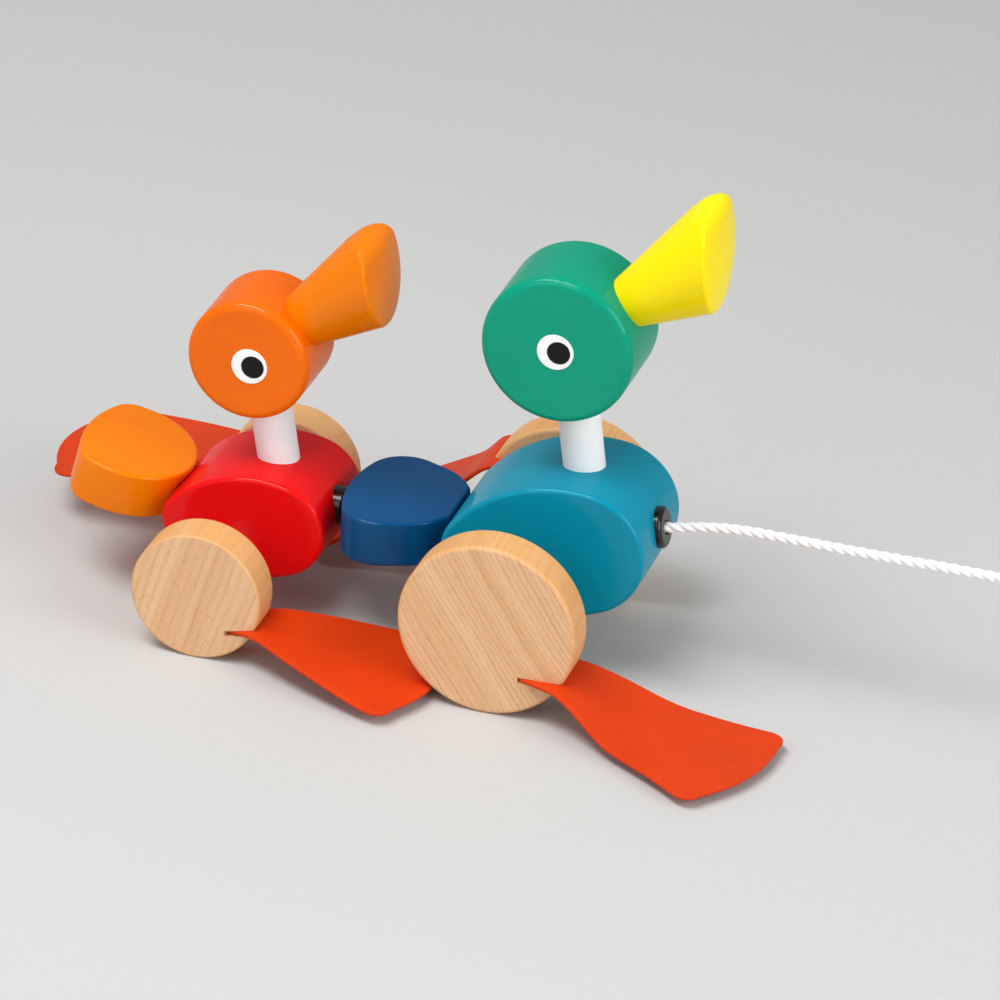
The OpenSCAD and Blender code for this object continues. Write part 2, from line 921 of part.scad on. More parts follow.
module sleeve(x, z, body_w, side) {
    y0 = body_w / 2 + 0.35;
    y1 = half_track - wheel_t - 0.1;
    translate([x, side * (y0 + y1) / 2, z])
        rotate([90, 0, 0])
            difference() {
                cylinder(r = axle_d / 2 + 1.6, h = y1 - y0, center = true);
                cylinder(r = axle_d / 2 + 0.02, h = y1 - y0 + 2, center = true);
            }
}

module lead_sleeve_right() {
    color([0.9, 0.9, 0.88])
        placed()
            sleeve(0, rl, lead_body_w, -1);
}

module lead_sleeve_left() {
    color([0.9, 0.9, 0.88])
        placed()
            sleeve(0, rl, lead_body_w, 1);
}

module second_sleeve_right() {
    color([0.9, 0.9, 0.88])
        placed()
            sleeve(sx, rs, second_body_w, -1);
}

module second_sleeve_left() {
    color([0.9, 0.9, 0.88])
        placed()
            sleeve(sx, rs, second_body_w, 1);
}

// Soft flippers
module lead_flipper_right() {
    color([0.88, 0.28, 0.07])
        placed()
            polyhedron(points = pts_lr, faces = fl_faces(), convexity = 4);
}

module lead_flipper_left() {
    color([0.88, 0.28, 0.07])
        placed()
            polyhedron(points = pts_ll, faces = fl_faces(), convexity = 4);
}

module second_flipper_right() {
    color([0.88, 0.28, 0.07])
        placed()
            polyhedron(points = pts_sr, faces = fl_faces(), convexity = 4);
}

module second_flipper_left() {
    color([0.88, 0.28, 0.07])
        placed()
            polyhedron(points = pts_sl, faces = fl_faces(), convexity = 4);
}

// Pull cord, its stop knot inside the chest and the knot at its hand end
module pull_cord() {
    color([0.94, 0.94, 0.94])
        placed()
            tube(cord_line, cord_r, 8, [0, 1, 0]);
}

module cord_stop_knot() {
    color([0.94, 0.94, 0.94])
        placed()
            translate(knot_p)
                sphere(r = knot_r);
}

module cord_end_knot() {
    color([0.94, 0.94, 0.94])
        placed()
            translate(end_knot_p)
                sphere(r = end_knot_r);
}

echo(shift = shift);
echo(box = [x_lo, x_hi, y_lo, y_hi]);
echo(flipper_low = [for (q = [pts_lr, pts_ll, pts_sr, pts_sl]) min([for (p = q) p[2]])]);
echo(hitch = [hitch_x + shift[0], shift[1], hitch_z], chest_x = chest_x, tail_end = lead_tail_end);
echo(lead_axle = [shift[0], shift[1], rl], second_axle = [sx + shift[0], shift[1], rs]);
echo(cord_length = path_len(cord_line), knot = end_knot_p + shift);

lead_body();
lead_neck();
lead_head();
lead_beak();
lead_eye_right();
lead_eye_left();
lead_pupil_right();
lead_pupil_left();
lead_tail();
lead_tail_dowel();
hitch_pin();
chest_grommet();
lead_axle();
lead_wheel_right();
lead_wheel_left();
lead_sleeve_right();
lead_sleeve_left();
lead_flipper_right();
lead_flipper_left();
second_body();
second_neck();
second_head();
second_beak();
second_eye_right();
second_eye_left();
second_pupil_right();
second_pupil_left();
second_tail();
second_tail_dowel();
hitch_link();
second_axle();
second_wheel_right();
second_wheel_left();
second_sleeve_right();
second_sleeve_left();
second_flipper_right();
second_flipper_left();
pull_cord();
cord_stop_knot();
cord_end_knot();
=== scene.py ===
"""Looks of the duck pull toy: shapes in millimetres about the lead axle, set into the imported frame."""

import json
import logging
import math
from dataclasses import dataclass, replace
from enum import Enum

import bmesh
import bpy
from mathutils import Matrix, Vector


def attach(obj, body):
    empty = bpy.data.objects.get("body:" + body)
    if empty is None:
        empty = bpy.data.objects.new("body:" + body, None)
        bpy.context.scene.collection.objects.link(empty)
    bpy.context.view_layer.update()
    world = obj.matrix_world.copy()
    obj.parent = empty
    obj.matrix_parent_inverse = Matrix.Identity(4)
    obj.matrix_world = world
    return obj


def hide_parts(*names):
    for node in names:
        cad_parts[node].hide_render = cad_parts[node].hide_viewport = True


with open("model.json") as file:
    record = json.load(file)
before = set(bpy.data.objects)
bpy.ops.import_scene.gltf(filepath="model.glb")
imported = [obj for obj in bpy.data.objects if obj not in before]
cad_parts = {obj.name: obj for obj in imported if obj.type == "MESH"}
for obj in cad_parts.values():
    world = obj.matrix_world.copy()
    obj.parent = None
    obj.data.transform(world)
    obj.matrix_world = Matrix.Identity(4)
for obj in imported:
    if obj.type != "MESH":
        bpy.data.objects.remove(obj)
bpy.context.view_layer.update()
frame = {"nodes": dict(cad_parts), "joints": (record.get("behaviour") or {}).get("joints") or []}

MM = 0.001
X_AXIS = Vector((1, 0, 0))
Y_AXIS = Vector((0, 1, 0))
Z_AXIS = Vector((0, 0, 1))
LOG = logging.getLogger("duck_pull_toy")


class Side(Enum):
    """Side of the toy, with its sign along Y."""

    RIGHT = -1
    LEFT = 1

    @property
    def word(self) -> str:
        """The side's word in a node's name."""
        return self.name.lower()


class Duck(Enum):
    """The two ducks, by the first word of their nodes."""

    LEAD = "lead"
    SECOND = "second"

    @property
    def carcass(self) -> str:
        """Name of the body that the duck's fixed pieces ride on."""
        return f"{self.value}_duck"

    @property
    def running_gear(self) -> str:
        """Name of the body that the duck's wheels ride on."""
        return f"{self.value}_wheels"


def ease(t: float) -> float:
    """Smooth step from 0 to 1."""
    u = min(1.0, max(0.0, t))
    return u * u * (3 - 2 * u)


def heading(degrees: float) -> Vector:
    """Unit vector in the XZ plane, turned up from +X."""
    a = math.radians(degrees)
    return Vector((math.cos(a), 0, math.sin(a)))


# Node trees


class Wiring:
    """Places nodes in one tree and joins their sockets."""

    def __init__(self, tree: bpy.types.NodeTree) -> None:
        """Keeps the tree that the nodes go into."""
        self.tree = tree

    def add(self, kind: str, values: dict | None = None, **settings: object) -> bpy.types.Node:
        """Adds a node.

        Args:
            kind: the node's type name.
            values: constants for its input sockets.
            settings: the node's own properties.

        Returns:
            The new node.
        """
        node = self.tree.nodes.new(kind)
        for name, value in settings.items():
            setattr(node, name, value)
        for name, value in (values or {}).items():
            node.inputs[name].default_value = value
        return node

    def join(self, source: bpy.types.NodeSocket, target: bpy.types.NodeSocket) -> None:
        """Links one socket to another."""
        self.tree.links.new(source, target)

    def math(self, operation: str, *terms: object) -> bpy.types.NodeSocket:
        """Adds a Math node.

        Args:
            operation: the operation's name.
            terms: up to three sockets or numbers, in order.

        Returns:
            The node's output socket.
        """
        node = self.add("ShaderNodeMath", operation=operation)
        for place, term in zip(node.inputs, terms):
            if isinstance(term, bpy.types.NodeSocket):
                self.join(term, place)
            else:
                place.default_value = term
        return node.outputs["Value"]

    def noise(self, vector: bpy.types.NodeSocket, scale: float, detail: float) -> bpy.types.NodeSocket:
        """Adds a 3-D noise and returns its value socket."""
        node = self.add("ShaderNodeTexNoise", {"Scale": scale, "Detail": detail})
        self.join(vector, node.inputs["Vector"])
        return node.outputs["Fac"]

    def streaks(self, place: bpy.types.NodeSocket, detail: float) -> bpy.types.NodeSocket:
        """Adds a 1-D noise along a value and returns its value socket."""
        node = self.add("ShaderNodeTexNoise", {"Scale": 1.0, "Detail": detail}, noise_dimensions="1D")
        self.join(place, node.inputs["W"])
        return node.outputs["Fac"]

    def stretched(
        self, vector: bpy.types.NodeSocket, scale: tuple[float, float, float]
    ) -> bpy.types.NodeSocket:
        """Scales a vector socket by axis and returns the new socket."""
        node = self.add("ShaderNodeMapping", {"Scale": scale})
        self.join(vector, node.inputs["Vector"])
        return node.outputs["Vector"]

    def window(self, value: bpy.types.NodeSocket, low: float, high: float) -> bpy.types.NodeSocket:
        """Maps low..high of a value to 0..1 and returns the new socket."""
        node = self.add("ShaderNodeMapRange", {"From Min": low, "From Max": high})
        self.join(value, node.inputs["Value"])
        return node.outputs["Result"]

    def blend(self, mask: bpy.types.NodeSocket, a: object, b: object) -> bpy.types.NodeSocket:
        """Mixes two colours by a mask.

        Args:
            mask: 0 gives a and 1 gives b.
            a: a colour or a colour socket.
            b: a colour or a colour socket.

        Returns:
            The mixed colour's socket.
        """
        node = self.add("ShaderNodeMix", data_type="RGBA")
        self.join(mask, node.inputs["Factor"])
        ends = [s for s in node.inputs if s.type == "RGBA"]
        for place, colour in zip(ends, (a, b)):
            if isinstance(colour, bpy.types.NodeSocket):
                self.join(colour, place)
            else:
                place.default_value = colour
        return next(s for s in node.outputs if s.type == "RGBA")


class Effect:
    """A shader node group that several finishes share."""

    title = ""
    takes: tuple[str, ...] = ()
    gives: tuple[str, ...] = ()

    def group(self) -> bpy.types.NodeTree:
        """The group, built the first time it is asked for."""
        found = bpy.data.node_groups.get(self.title)
        if found:
            return found
        tree = bpy.data.node_groups.new(self.title, "ShaderNodeTree")
        tree.interface.new_socket("Vector", in_out="INPUT", socket_type="NodeSocketVector")
        for name in self.takes:
            tree.interface.new_socket(name, in_out="INPUT", socket_type="NodeSocketFloat")
        for name in self.gives:
            tree.interface.new_socket(name, in_out="OUTPUT", socket_type="NodeSocketFloat")
        wiring = Wiring(tree)
        entry = wiring.add("NodeGroupInput")
        leave = wiring.add("NodeGroupOutput")
        for name, value in self.wire(wiring, entry).items():
            wiring.join(value, leave.inputs[name])
        return tree

    def wire(self, wiring: Wiring, entry: bpy.types.Node) -> dict[str, bpy.types.NodeSocket]:
        """Builds the effect's nodes.

        Args:
            wiring: the group's own wiring.
            entry: the group's input node.

        Returns:
            The socket for each of the group's outputs.
        """
        raise NotImplementedError


class PaintFilm(Effect):
    """Brushed and sanded lacquer: cloudy tone, faint wood grain under it, fine peel."""

    title = "paint_film"
    takes = ("Gloss",)
    gives = ("Tone", "Roughness", "Height")

    def wire(self, wiring: Wiring, entry: bpy.types.Node) -> dict[str, bpy.types.NodeSocket]:
        """Clouds, grain and peel summed into tone, roughness and height."""
        vector = entry.outputs["Vector"]
        clouds = wiring.noise(vector, 48.0, 3.0)
        grain = wiring.noise(wiring.stretched(vector, (70.0, 620.0, 620.0)), 1.0, 3.0)
        peel = wiring.noise(vector, 900.0, 2.0)
        tone = wiring.math("MULTIPLY_ADD", grain, 0.35, wiring.math("MULTIPLY", clouds, 0.65))
        uneven = wiring.math("MULTIPLY_ADD", peel, 0.1, wiring.math("MULTIPLY", grain, 0.08))
        rough = wiring.math("ADD", entry.outputs["Gloss"], wiring.math("SUBTRACT", uneven, 0.09))
        height = wiring.math("MULTIPLY_ADD", grain, 0.7, wiring.math("MULTIPLY", peel, 0.5))
        return {"Tone": wiring.window(tone, 0.3, 0.7), "Roughness": rough, "Height": height}


class BeechFigure(Effect):
    """Growth lines, slow bands and short flecks of beech; X runs across the grain and Z along it, in mm."""

    title = "beech_figure"
    takes = ("Spacing",)
    gives = ("Line", "Band", "Fleck", "Height")

    def wire(self, wiring: Wiring, entry: bpy.types.Node) -> dict[str, bpy.types.NodeSocket]:
        """Lines at an even spacing along X, bent a little and broken up, with flecks drawn out along Z."""
        vector = entry.outputs["Vector"]
        parts = wiring.add("ShaderNodeSeparateXYZ")
        wiring.join(vector, parts.inputs["Vector"])
        drift = wiring.noise(wiring.stretched(vector, (0.06, 0.01, 0.03)), 1.0, 1.0)
        across = wiring.math("MULTIPLY_ADD", drift, 4.0, parts.outputs["X"])
        rings = wiring.math("DIVIDE", across, entry.outputs["Spacing"])
        uneven = wiring.streaks(wiring.math("MULTIPLY", rings, 0.7), 1.0)
        phase = wiring.math("MULTIPLY_ADD", uneven, 0.9, rings)
        wave = wiring.math("SINE", wiring.math("MULTIPLY", phase, 2 * math.pi))
        broken = wiring.noise(wiring.stretched(vector, (1.1, 0.3, 0.07)), 1.0, 2.0)
        line = wiring.math("MULTIPLY", wiring.window(wave, 0.0, 1.0), wiring.window(broken, 0.2, 0.7))
        band = wiring.window(wiring.streaks(wiring.math("MULTIPLY", across, 0.14), 1.0), 0.3, 0.7)
        pores = wiring.noise(wiring.stretched(vector, (3.4, 1.0, 0.4)), 1.0, 1.0)
        fleck = wiring.window(pores, 0.6, 0.72)
        height = wiring.math("SUBTRACT", wiring.math("MULTIPLY", line, -0.4), fleck)
        return {"Line": line, "Band": band, "Fleck": fleck, "Height": height}


class MouldedSkin(Effect):
    """Surface of a moulded piece: cloudy tone and a fine matt grain."""

    title = "moulded_skin"
    takes = ("Matt",)
    gives = ("Tone", "Roughness", "Height")

    def wire(self, wiring: Wiring, entry: bpy.types.Node) -> dict[str, bpy.types.NodeSocket]:
        """Clouds for tone and a fine noise for roughness and height."""
        vector = entry.outputs["Vector"]
        clouds = wiring.noise(vector, 60.0, 2.0)
        grain = wiring.noise(vector, 2200.0, 2.0)
        uneven = wiring.math("MULTIPLY_ADD", grain, 0.14, wiring.math("MULTIPLY", clouds, 0.1))
        rough = wiring.math("ADD", entry.outputs["Matt"], wiring.math("SUBTRACT", uneven, 0.12))
        return {"Tone": wiring.window(clouds, 0.32, 0.68), "Roughness": rough, "Height": grain}


# Finishes


@dataclass(frozen=True)
class Tint:
    """A colour as it looks on screen, each part up to 255."""

    red: float
    green: float
    blue: float

    def linear(self, shade: float = 1.0) -> tuple[float, float, float, float]:
        """The colour as a shader takes it.

        Args:
            shade: factor on the light that the colour gives back.

        Returns:
            Linear red, green, blue and 1.
        """
        parts = []
        for part in (self.red, self.green, self.blue):
            s = part / 255
            value = s / 12.92 if s <= 0.04045 else ((s + 0.055) / 1.055) ** 2.4
            parts.append(min(1.0, value * shade))
        return (*parts, 1.0)


@dataclass(frozen=True)
class Finish:
    """A finish of the toy: its slot in the record and its name."""

    slot: str
    title: str

    def material(self) -> bpy.types.Material:
        """The finish's material, built the first time it is asked for."""
        found = bpy.data.materials.get(self.title)
        if found:
            return found
        made = bpy.data.materials.new(self.title)
        made.use_nodes = True
        wiring = Wiring(made.node_tree)
        shader = next(n for n in made.node_tree.nodes if n.type == "BSDF_PRINCIPLED")
        self.dress(wiring, shader)
        return made

    def dress(self, wiring: Wiring, shader: bpy.types.Node) -> None:
        """Wires the finish into its shader."""
        raise NotImplementedError

    @staticmethod
    def placed(
        wiring: Wiring, effect: Effect, vector: bpy.types.NodeSocket, **values: float
    ) -> bpy.types.Node:
        """Puts an effect's group into a material.

        Args:
            wiring: the material's wiring.
            effect: the shared effect.
            vector: where the pattern is read.
            values: the effect's own numbers.

        Returns:
            The group node.
        """
        node = wiring.add("ShaderNodeGroup", node_tree=effect.group())
        wiring.join(vector, node.inputs["Vector"])
        for name, value in values.items():
            node.inputs[name].default_value = value
        return node

    @staticmethod
    def bumped(
        wiring: Wiring, shader: bpy.types.Node, height: bpy.types.NodeSocket, depth_mm: float
    ) -> None:
        """Lets a height socket bend the shader's normal by a real depth."""
        bump = wiring.add("ShaderNodeBump", {"Strength": 1.0, "Distance": depth_mm * MM})
        wiring.join(height, bump.inputs["Height"])
        wiring.join(bump.outputs["Normal"], shader.inputs["Normal"])


@dataclass(frozen=True)
class Paint(Finish):
    """Satin lacquer on wood."""

    tint: Tint
    gloss: float = 0.45
    spread: float = 0.06
    sheen: float = 0.02
    coat: float = 0.34
    coat_rough: float = 0.1

    def dress(self, wiring: Wiring, shader: bpy.types.Node) -> None:
        """Tone between two shades of the tint, with the film's roughness and height."""
        place = wiring.add("ShaderNodeTexCoord").outputs["Object"]
        film = self.placed(wiring, PaintFilm(), place, Gloss=self.gloss)
        colour = wiring.blend(
            film.outputs["Tone"], self.tint.linear(1 - self.spread), self.tint.linear(1 + self.spread)
        )
        wiring.join(colour, shader.inputs["Base Color"])
        wiring.join(film.outputs["Roughness"], shader.inputs["Roughness"])
        shader.inputs["Specular IOR Level"].default_value = self.sheen
        shader.inputs["Coat Weight"].default_value = self.coat
        shader.inputs["Coat Roughness"].default_value = self.coat_rough
        self.bumped(wiring, shader, film.outputs["Height"], 0.012)


@dataclass(frozen=True)
class Beech(Finish):
    """Bare turned beech, its grain turned in the plane of the wheel."""

    turn: float
    spacing: float
    offset: float
    contrast: float = 0.45
    light: Tint = Tint(230, 186, 143)
    warm: Tint = Tint(220, 170, 122)
    dark: Tint = Tint(176, 126, 86)
    pore: Tint = Tint(166, 112, 70)
    rim: Tint = Tint(223, 158, 72)
    rim_share: float = 0.5
    rim_from: float = 1.0
    rim_full: float = 0.2
    hub: tuple[float, float] = (0.0, 0.0)
    radius: float = 0.0

    def on_rim(self, wiring: Wiring, place: bpy.types.NodeSocket) -> bpy.types.NodeSocket:
        """Mask of the turned rim, from the distance to the hub.

        Args:
            wiring: the material's wiring.
            place: object coordinates, in metres.

        Returns:
            The rim's share of warm tone.
        """
        spread = wiring.add(
            "ShaderNodeMapping",
            {"Location": (-self.hub[0] / MM, 0, -self.hub[1] / MM), "Scale": (1 / MM, 0, 1 / MM)},
        )
        wiring.join(place, spread.inputs["Vector"])
        reach = wiring.add("ShaderNodeVectorMath", operation="LENGTH")
        wiring.join(spread.outputs["Vector"], reach.inputs[0])
        low, high = self.radius - self.rim_from, self.radius - self.rim_full
        ring = wiring.window(reach.outputs["Value"], low, high)
        return wiring.math("MULTIPLY", ring, self.rim_share)

    def dress(self, wiring: Wiring, shader: bpy.types.Node) -> None:
        """Slow bands, lines and flecks along the turned grain."""
        place = wiring.add("ShaderNodeTexCoord").outputs["Object"]
        turned = wiring.add(
            "ShaderNodeMapping",
            {
                "Location": (self.offset, self.offset * 0.7, self.offset * 0.3),
                "Rotation": (0, math.radians(self.turn), 0),
                "Scale": (1 / MM, 1 / MM, 1 / MM),
            },
        )
        wiring.join(place, turned.inputs["Vector"])
        figure = self.placed(wiring, BeechFigure(), turned.outputs["Vector"], Spacing=self.spacing)
        ground = wiring.blend(figure.outputs["Band"], self.light.linear(), self.warm.linear())
        lines = wiring.math("MULTIPLY", figure.outputs["Line"], self.contrast)
        wood = wiring.blend(lines, ground, self.dark.linear())
        mask = wiring.math("MULTIPLY", figure.outputs["Fleck"], 0.4)
        colour = wiring.blend(mask, wood, self.pore.linear())
        if self.radius > 0:
            colour = wiring.blend(self.on_rim(wiring, place), colour, self.rim.linear())
        wiring.join(colour, shader.inputs["Base Color"])
        rough = wiring.math("MULTIPLY_ADD", figure.outputs["Line"], 0.12, 0.46)
        wiring.join(rough, shader.inputs["Roughness"])
        self.bumped(wiring, shader, figure.outputs["Height"], 0.02)


@dataclass(frozen=True)
class Moulded(Finish):
    """Moulded plastic or rubber."""

    tint: Tint
    matt: float
    spread: float
    depth_mm: float
    sheen: float = 0.5

    def dress(self, wiring: Wiring, shader: bpy.types.Node) -> None:
        """Cloudy tone with a fine matt grain."""
        place = wiring.add("ShaderNodeTexCoord").outputs["Object"]
        skin = self.placed(wiring, MouldedSkin(), place, Matt=self.matt)
        colour = wiring.blend(
            skin.outputs["Tone"], self.tint.linear(1 - self.spread), self.tint.linear(1 + self.spread)
        )
        wiring.join(colour, shader.inputs["Base Color"])
        wiring.join(skin.outputs["Roughness"], shader.inputs["Roughness"])
        shader.inputs["Specular IOR Level"].default_value = self.sheen
        self.bumped(wiring, shader, skin.outputs["Height"], self.depth_mm)


@dataclass(frozen=True)
class DrawnSteel(Finish):
    """Bright drawn steel with lines along the rod."""

    tint: Tint

    def dress(self, wiring: Wiring, shader: bpy.types.Node) -> None:
        """Lines drawn along Y in tone, roughness and height."""
        place = wiring.add("ShaderNodeTexCoord").outputs["Object"]
        lines = wiring.noise(wiring.stretched(place, (2600.0, 40.0, 2600.0)), 1.0, 2.0)
        colour = wiring.blend(lines, self.tint.linear(0.85), self.tint.linear(1.1))
        wiring.join(colour, shader.inputs["Base Color"])
        wiring.join(wiring.math("MULTIPLY_ADD", lines, 0.2, 0.2), shader.inputs["Roughness"])
        shader.inputs["Metallic"].default_value = 1.0
        self.bumped(wiring, shader, lines, 0.004)


@dataclass(frozen=True)
class Cotton(Finish):
    """Laid cotton cord; the piece's UV map runs round the cord and along it in cord diameters."""

    tint: Tint
    shadow: Tint

    def dress(self, wiring: Wiring, shader: bpy.types.Node) -> None:
        """Fibres along the cord with a soft fuzz."""
        place = wiring.add("ShaderNodeUVMap").outputs["UV"]
        fibres = wiring.noise(wiring.stretched(place, (46.0, 5.0, 1.0)), 1.0, 3.0)
        fuzz = wiring.noise(wiring.stretched(place, (18.0, 16.0, 1.0)), 1.0, 2.0)
        mask = wiring.math("MULTIPLY_ADD", fibres, 0.7, wiring.math("MULTIPLY", fuzz, 0.3))
        colour = wiring.blend(wiring.window(mask, 0.3, 0.6), self.shadow.linear(), self.tint.linear())
        wiring.join(colour, shader.inputs["Base Color"])
        wiring.join(wiring.math("MULTIPLY_ADD", fuzz, 0.15, 0.8), shader.inputs["Roughness"])
        shader.inputs["Sheen Weight"].default_value = 0.25
        shader.inputs["Sheen Roughness"].default_value = 0.5
        self.bumped(wiring, shader, mask, 0.09)


@dataclass(frozen=True)
class StudioPaper(Finish):
    """Plain pale paper under the toy."""

    tint: Tint

    def dress(self, wiring: Wiring, shader: bpy.types.Node) -> None:
        """Almost even tone with a paper tooth."""
        place = wiring.add("ShaderNodeTexCoord").outputs["Object"]
        tooth = wiring.noise(place, 300.0, 2.0)
        colour = wiring.blend(tooth, self.tint.linear(0.985), self.tint.linear(1.015))
        wiring.join(colour, shader.inputs["Base Color"])
        wiring.join(wiring.math("MULTIPLY_ADD", tooth, 0.05, 0.7), shader.inputs["Roughness"])


TEAL = Paint("teal_paint", "teal_lacquer", Tint(0, 138, 166))
GREEN = Paint("green_paint", "green_lacquer", Tint(0, 148, 118))
YELLOW = Paint("yellow_paint", "yellow_lacquer", Tint(252, 226, 0), spread=0.04)
BLUE = Paint("blue_paint", "blue_lacquer", Tint(0, 72, 122))
RED = Paint("red_paint", "red_lacquer", Tint(226, 12, 16))
ORANGE = Paint("orange_paint", "orange_lacquer", Tint(232, 104, 0))
LIGHT_ORANGE = Paint("light_orange_paint", "light_orange_lacquer", Tint(234, 122, 0))
WHITE = Paint("white_paint", "white_lacquer", Tint(240, 241, 242), spread=0.02)
EYE_WHITE = Paint("eye_white", "eye_white_enamel", Tint(244, 244, 244), gloss=0.3, spread=0.02)
EYE_BLACK = Paint("eye_black", "eye_black_enamel", Tint(16, 15, 15), gloss=0.28)
GROMMET_BLACK = Moulded("black_plastic", "black_moulding", Tint(9, 9, 10), 0.2, 0.15, 0.002)
SLEEVE_WHITE = Moulded("sleeve_plastic", "pale_moulding", Tint(226, 226, 220), 0.42, 0.03, 0.004)
RUBBER = Moulded("orange_rubber", "orange_rubber_sheet", Tint(208, 58, 6), 0.5, 0.05, 0.01, 0.16)
STEEL = DrawnSteel("steel", "drawn_steel", Tint(190, 192, 196))
CORD_COTTON = Cotton("white_cord", "laid_cotton", Tint(250, 250, 249), Tint(226, 225, 222))
DOWEL_BEECH = Beech("bare_wood", "dowel_beech", 90.0, 2.0, 3.0)


# Modelling helpers


def drawn_arc(
    bm: bmesh.types.BMesh,
    start: bmesh.types.BMVert,
    centre: Vector,
    axis: Vector,
    degrees: float,
    steps: int,
) -> bmesh.types.BMVert:
    """Draws an arc of edges from a vertex.

    Args:
        bm: the mesh.
        start: the arc's first vertex.
        centre: the arc's centre.
        axis: the direction that the arc turns about.
        degrees: how far it turns.
        steps: number of edges.

    Returns:
        The arc's last vertex.
    """
    swept = bmesh.ops.spin(
        bm,
        geom=[start],
        cent=centre,
        axis=axis,
        dvec=(0, 0, 0),
        angle=math.radians(degrees),
        steps=steps,
        use_merge=False,
    )
    return next(g for g in swept["geom_last"] if isinstance(g, bmesh.types.BMVert))


def thickened(bm: bmesh.types.BMesh, axis: Vector, thickness: float) -> None:
    """Closes a drawn outline and gives it thickness, half to each side.

    Args:
        bm: the mesh, holding only the outline.
        axis: the direction of the thickness.
        thickness: the whole thickness.
    """
    bmesh.ops.remove_doubles(bm, verts=bm.verts[:], dist=0.001)
    plate = bmesh.ops.contextual_create(bm, geom=bm.edges[:])["faces"][0]
    bmesh.ops.translate(bm, verts=plate.verts[:], vec=axis * (-thickness / 2))
    grown = bmesh.ops.extrude_face_region(bm, geom=[plate])
    lifted = [g for g in grown["geom"] if isinstance(g, bmesh.types.BMVert)]
    bmesh.ops.translate(bm, verts=lifted, vec=axis * thickness)
    bmesh.ops.recalc_face_normals(bm, faces=bm.faces[:])


def rims(bm: bmesh.types.BMesh, axis: Vector, both: bool = True) -> list[bmesh.types.BMEdge]:
    """Edges between a flat end and the side of a shape.

    Args:
        bm: the mesh.
        axis: the direction that the flat ends face.
        both: False for the end that faces along the axis only.

    Returns:
        The rim's edges.
    """
    bm.normal_update()
    found = []
    for edge in bm.edges:
        facing = [f.normal.dot(axis) for f in edge.link_faces]
        ends = [abs(d) > 0.999 if both else d > 0.999 for d in facing]
        if len(ends) == 2 and ends[0] != ends[1]:
            found.append(edge)
    return found


def rounded(bm: bmesh.types.BMesh, edges: list[bmesh.types.BMEdge], radius: float, segments: int) -> None:
    """Rounds edges to a radius."""
    bmesh.ops.bevel(
        bm,
        geom=edges,
        offset=radius,
        offset_type="OFFSET",
        segments=segments,
        profile=0.5,
        affect="EDGES",
        clamp_overlap=True,
        material=-1,
    )


def rod(radius: float, start: Vector, end: Vector, segments: int) -> bmesh.types.BMesh:
    """A closed rod between two points.

    Args:
        radius: its radius.
        start: middle of its first end.
        end: middle of its last end.
        segments: sides round it.

    Returns:
        The rod's mesh.
    """
    bm = bmesh.new()
    run = end - start
    bmesh.ops.create_cone(
        bm,
        cap_ends=True,
        cap_tris=False,
        segments=segments,
        radius1=radius,
        radius2=radius,
        depth=run.length,
    )
    turn = Z_AXIS.rotation_difference(run).to_matrix()
    bmesh.ops.rotate(bm, verts=bm.verts[:], cent=(0, 0, 0), matrix=turn)
    bmesh.ops.translate(bm, verts=bm.verts[:], vec=(start + end) / 2)
    return bm


def turned_ring(section: tuple[tuple[float, float], ...], axis: Vector, steps: int) -> bmesh.types.BMesh:
    """Turns a closed section about an axis through the origin.

    Args:
        section: corners as distance along the axis and radius.
        axis: the axis, square to Z.
        steps: sides round it.

    Returns:
        The ring's mesh.
    """
    bm = bmesh.new()
    corners = [bm.verts.new(axis * along + Z_AXIS * radius) for along, radius in section]
    edges = [bm.edges.new((a, b)) for a, b in zip(corners, corners[1:] + corners[:1])]
    bmesh.ops.spin(
        bm,
        geom=corners + edges,
        cent=(0, 0, 0),
        axis=axis,
        dvec=(0, 0, 0),
        angle=2 * math.pi,
        steps=steps,
        use_merge=True,
    )
    bmesh.ops.remove_doubles(bm, verts=bm.verts[:], dist=0.001)
    bmesh.ops.recalc_face_normals(bm, faces=bm.faces[:])
    return bm


def gathered(angle: float, mark: float, reach: float = 0.16, low: float = 0.36, high: float = 0.64) -> float:
    """Moves even angles from 0 to pi so that many of them lie about a mark.

    Args:
        angle: an even angle.
        mark: the angle that they gather about.
        reach: how far the gathered part goes to each side of the mark.
        low: share of the whole at which the gathered part starts.
        high: share at which it ends.

    Returns:
        The moved angle.
    """
    t = angle / math.pi
    start, stop = mark - reach, mark + reach
    if t < low:
        return start * t / low
    if t < high:
        return start + (stop - start) * (t - low) / (high - low)
    return stop + (math.pi - stop) * (t - high) / (1 - high)


def joined(*shapes: bmesh.types.BMesh) -> bmesh.types.BMesh:
    """Puts several shapes into one mesh and frees them."""
    whole = bmesh.new()
    for shape in shapes:
        carrier = bpy.data.meshes.new("carrier")
        shape.to_mesh(carrier)
        shape.free()
        whole.from_mesh(carrier)
        bpy.data.meshes.remove(carrier)
    return whole


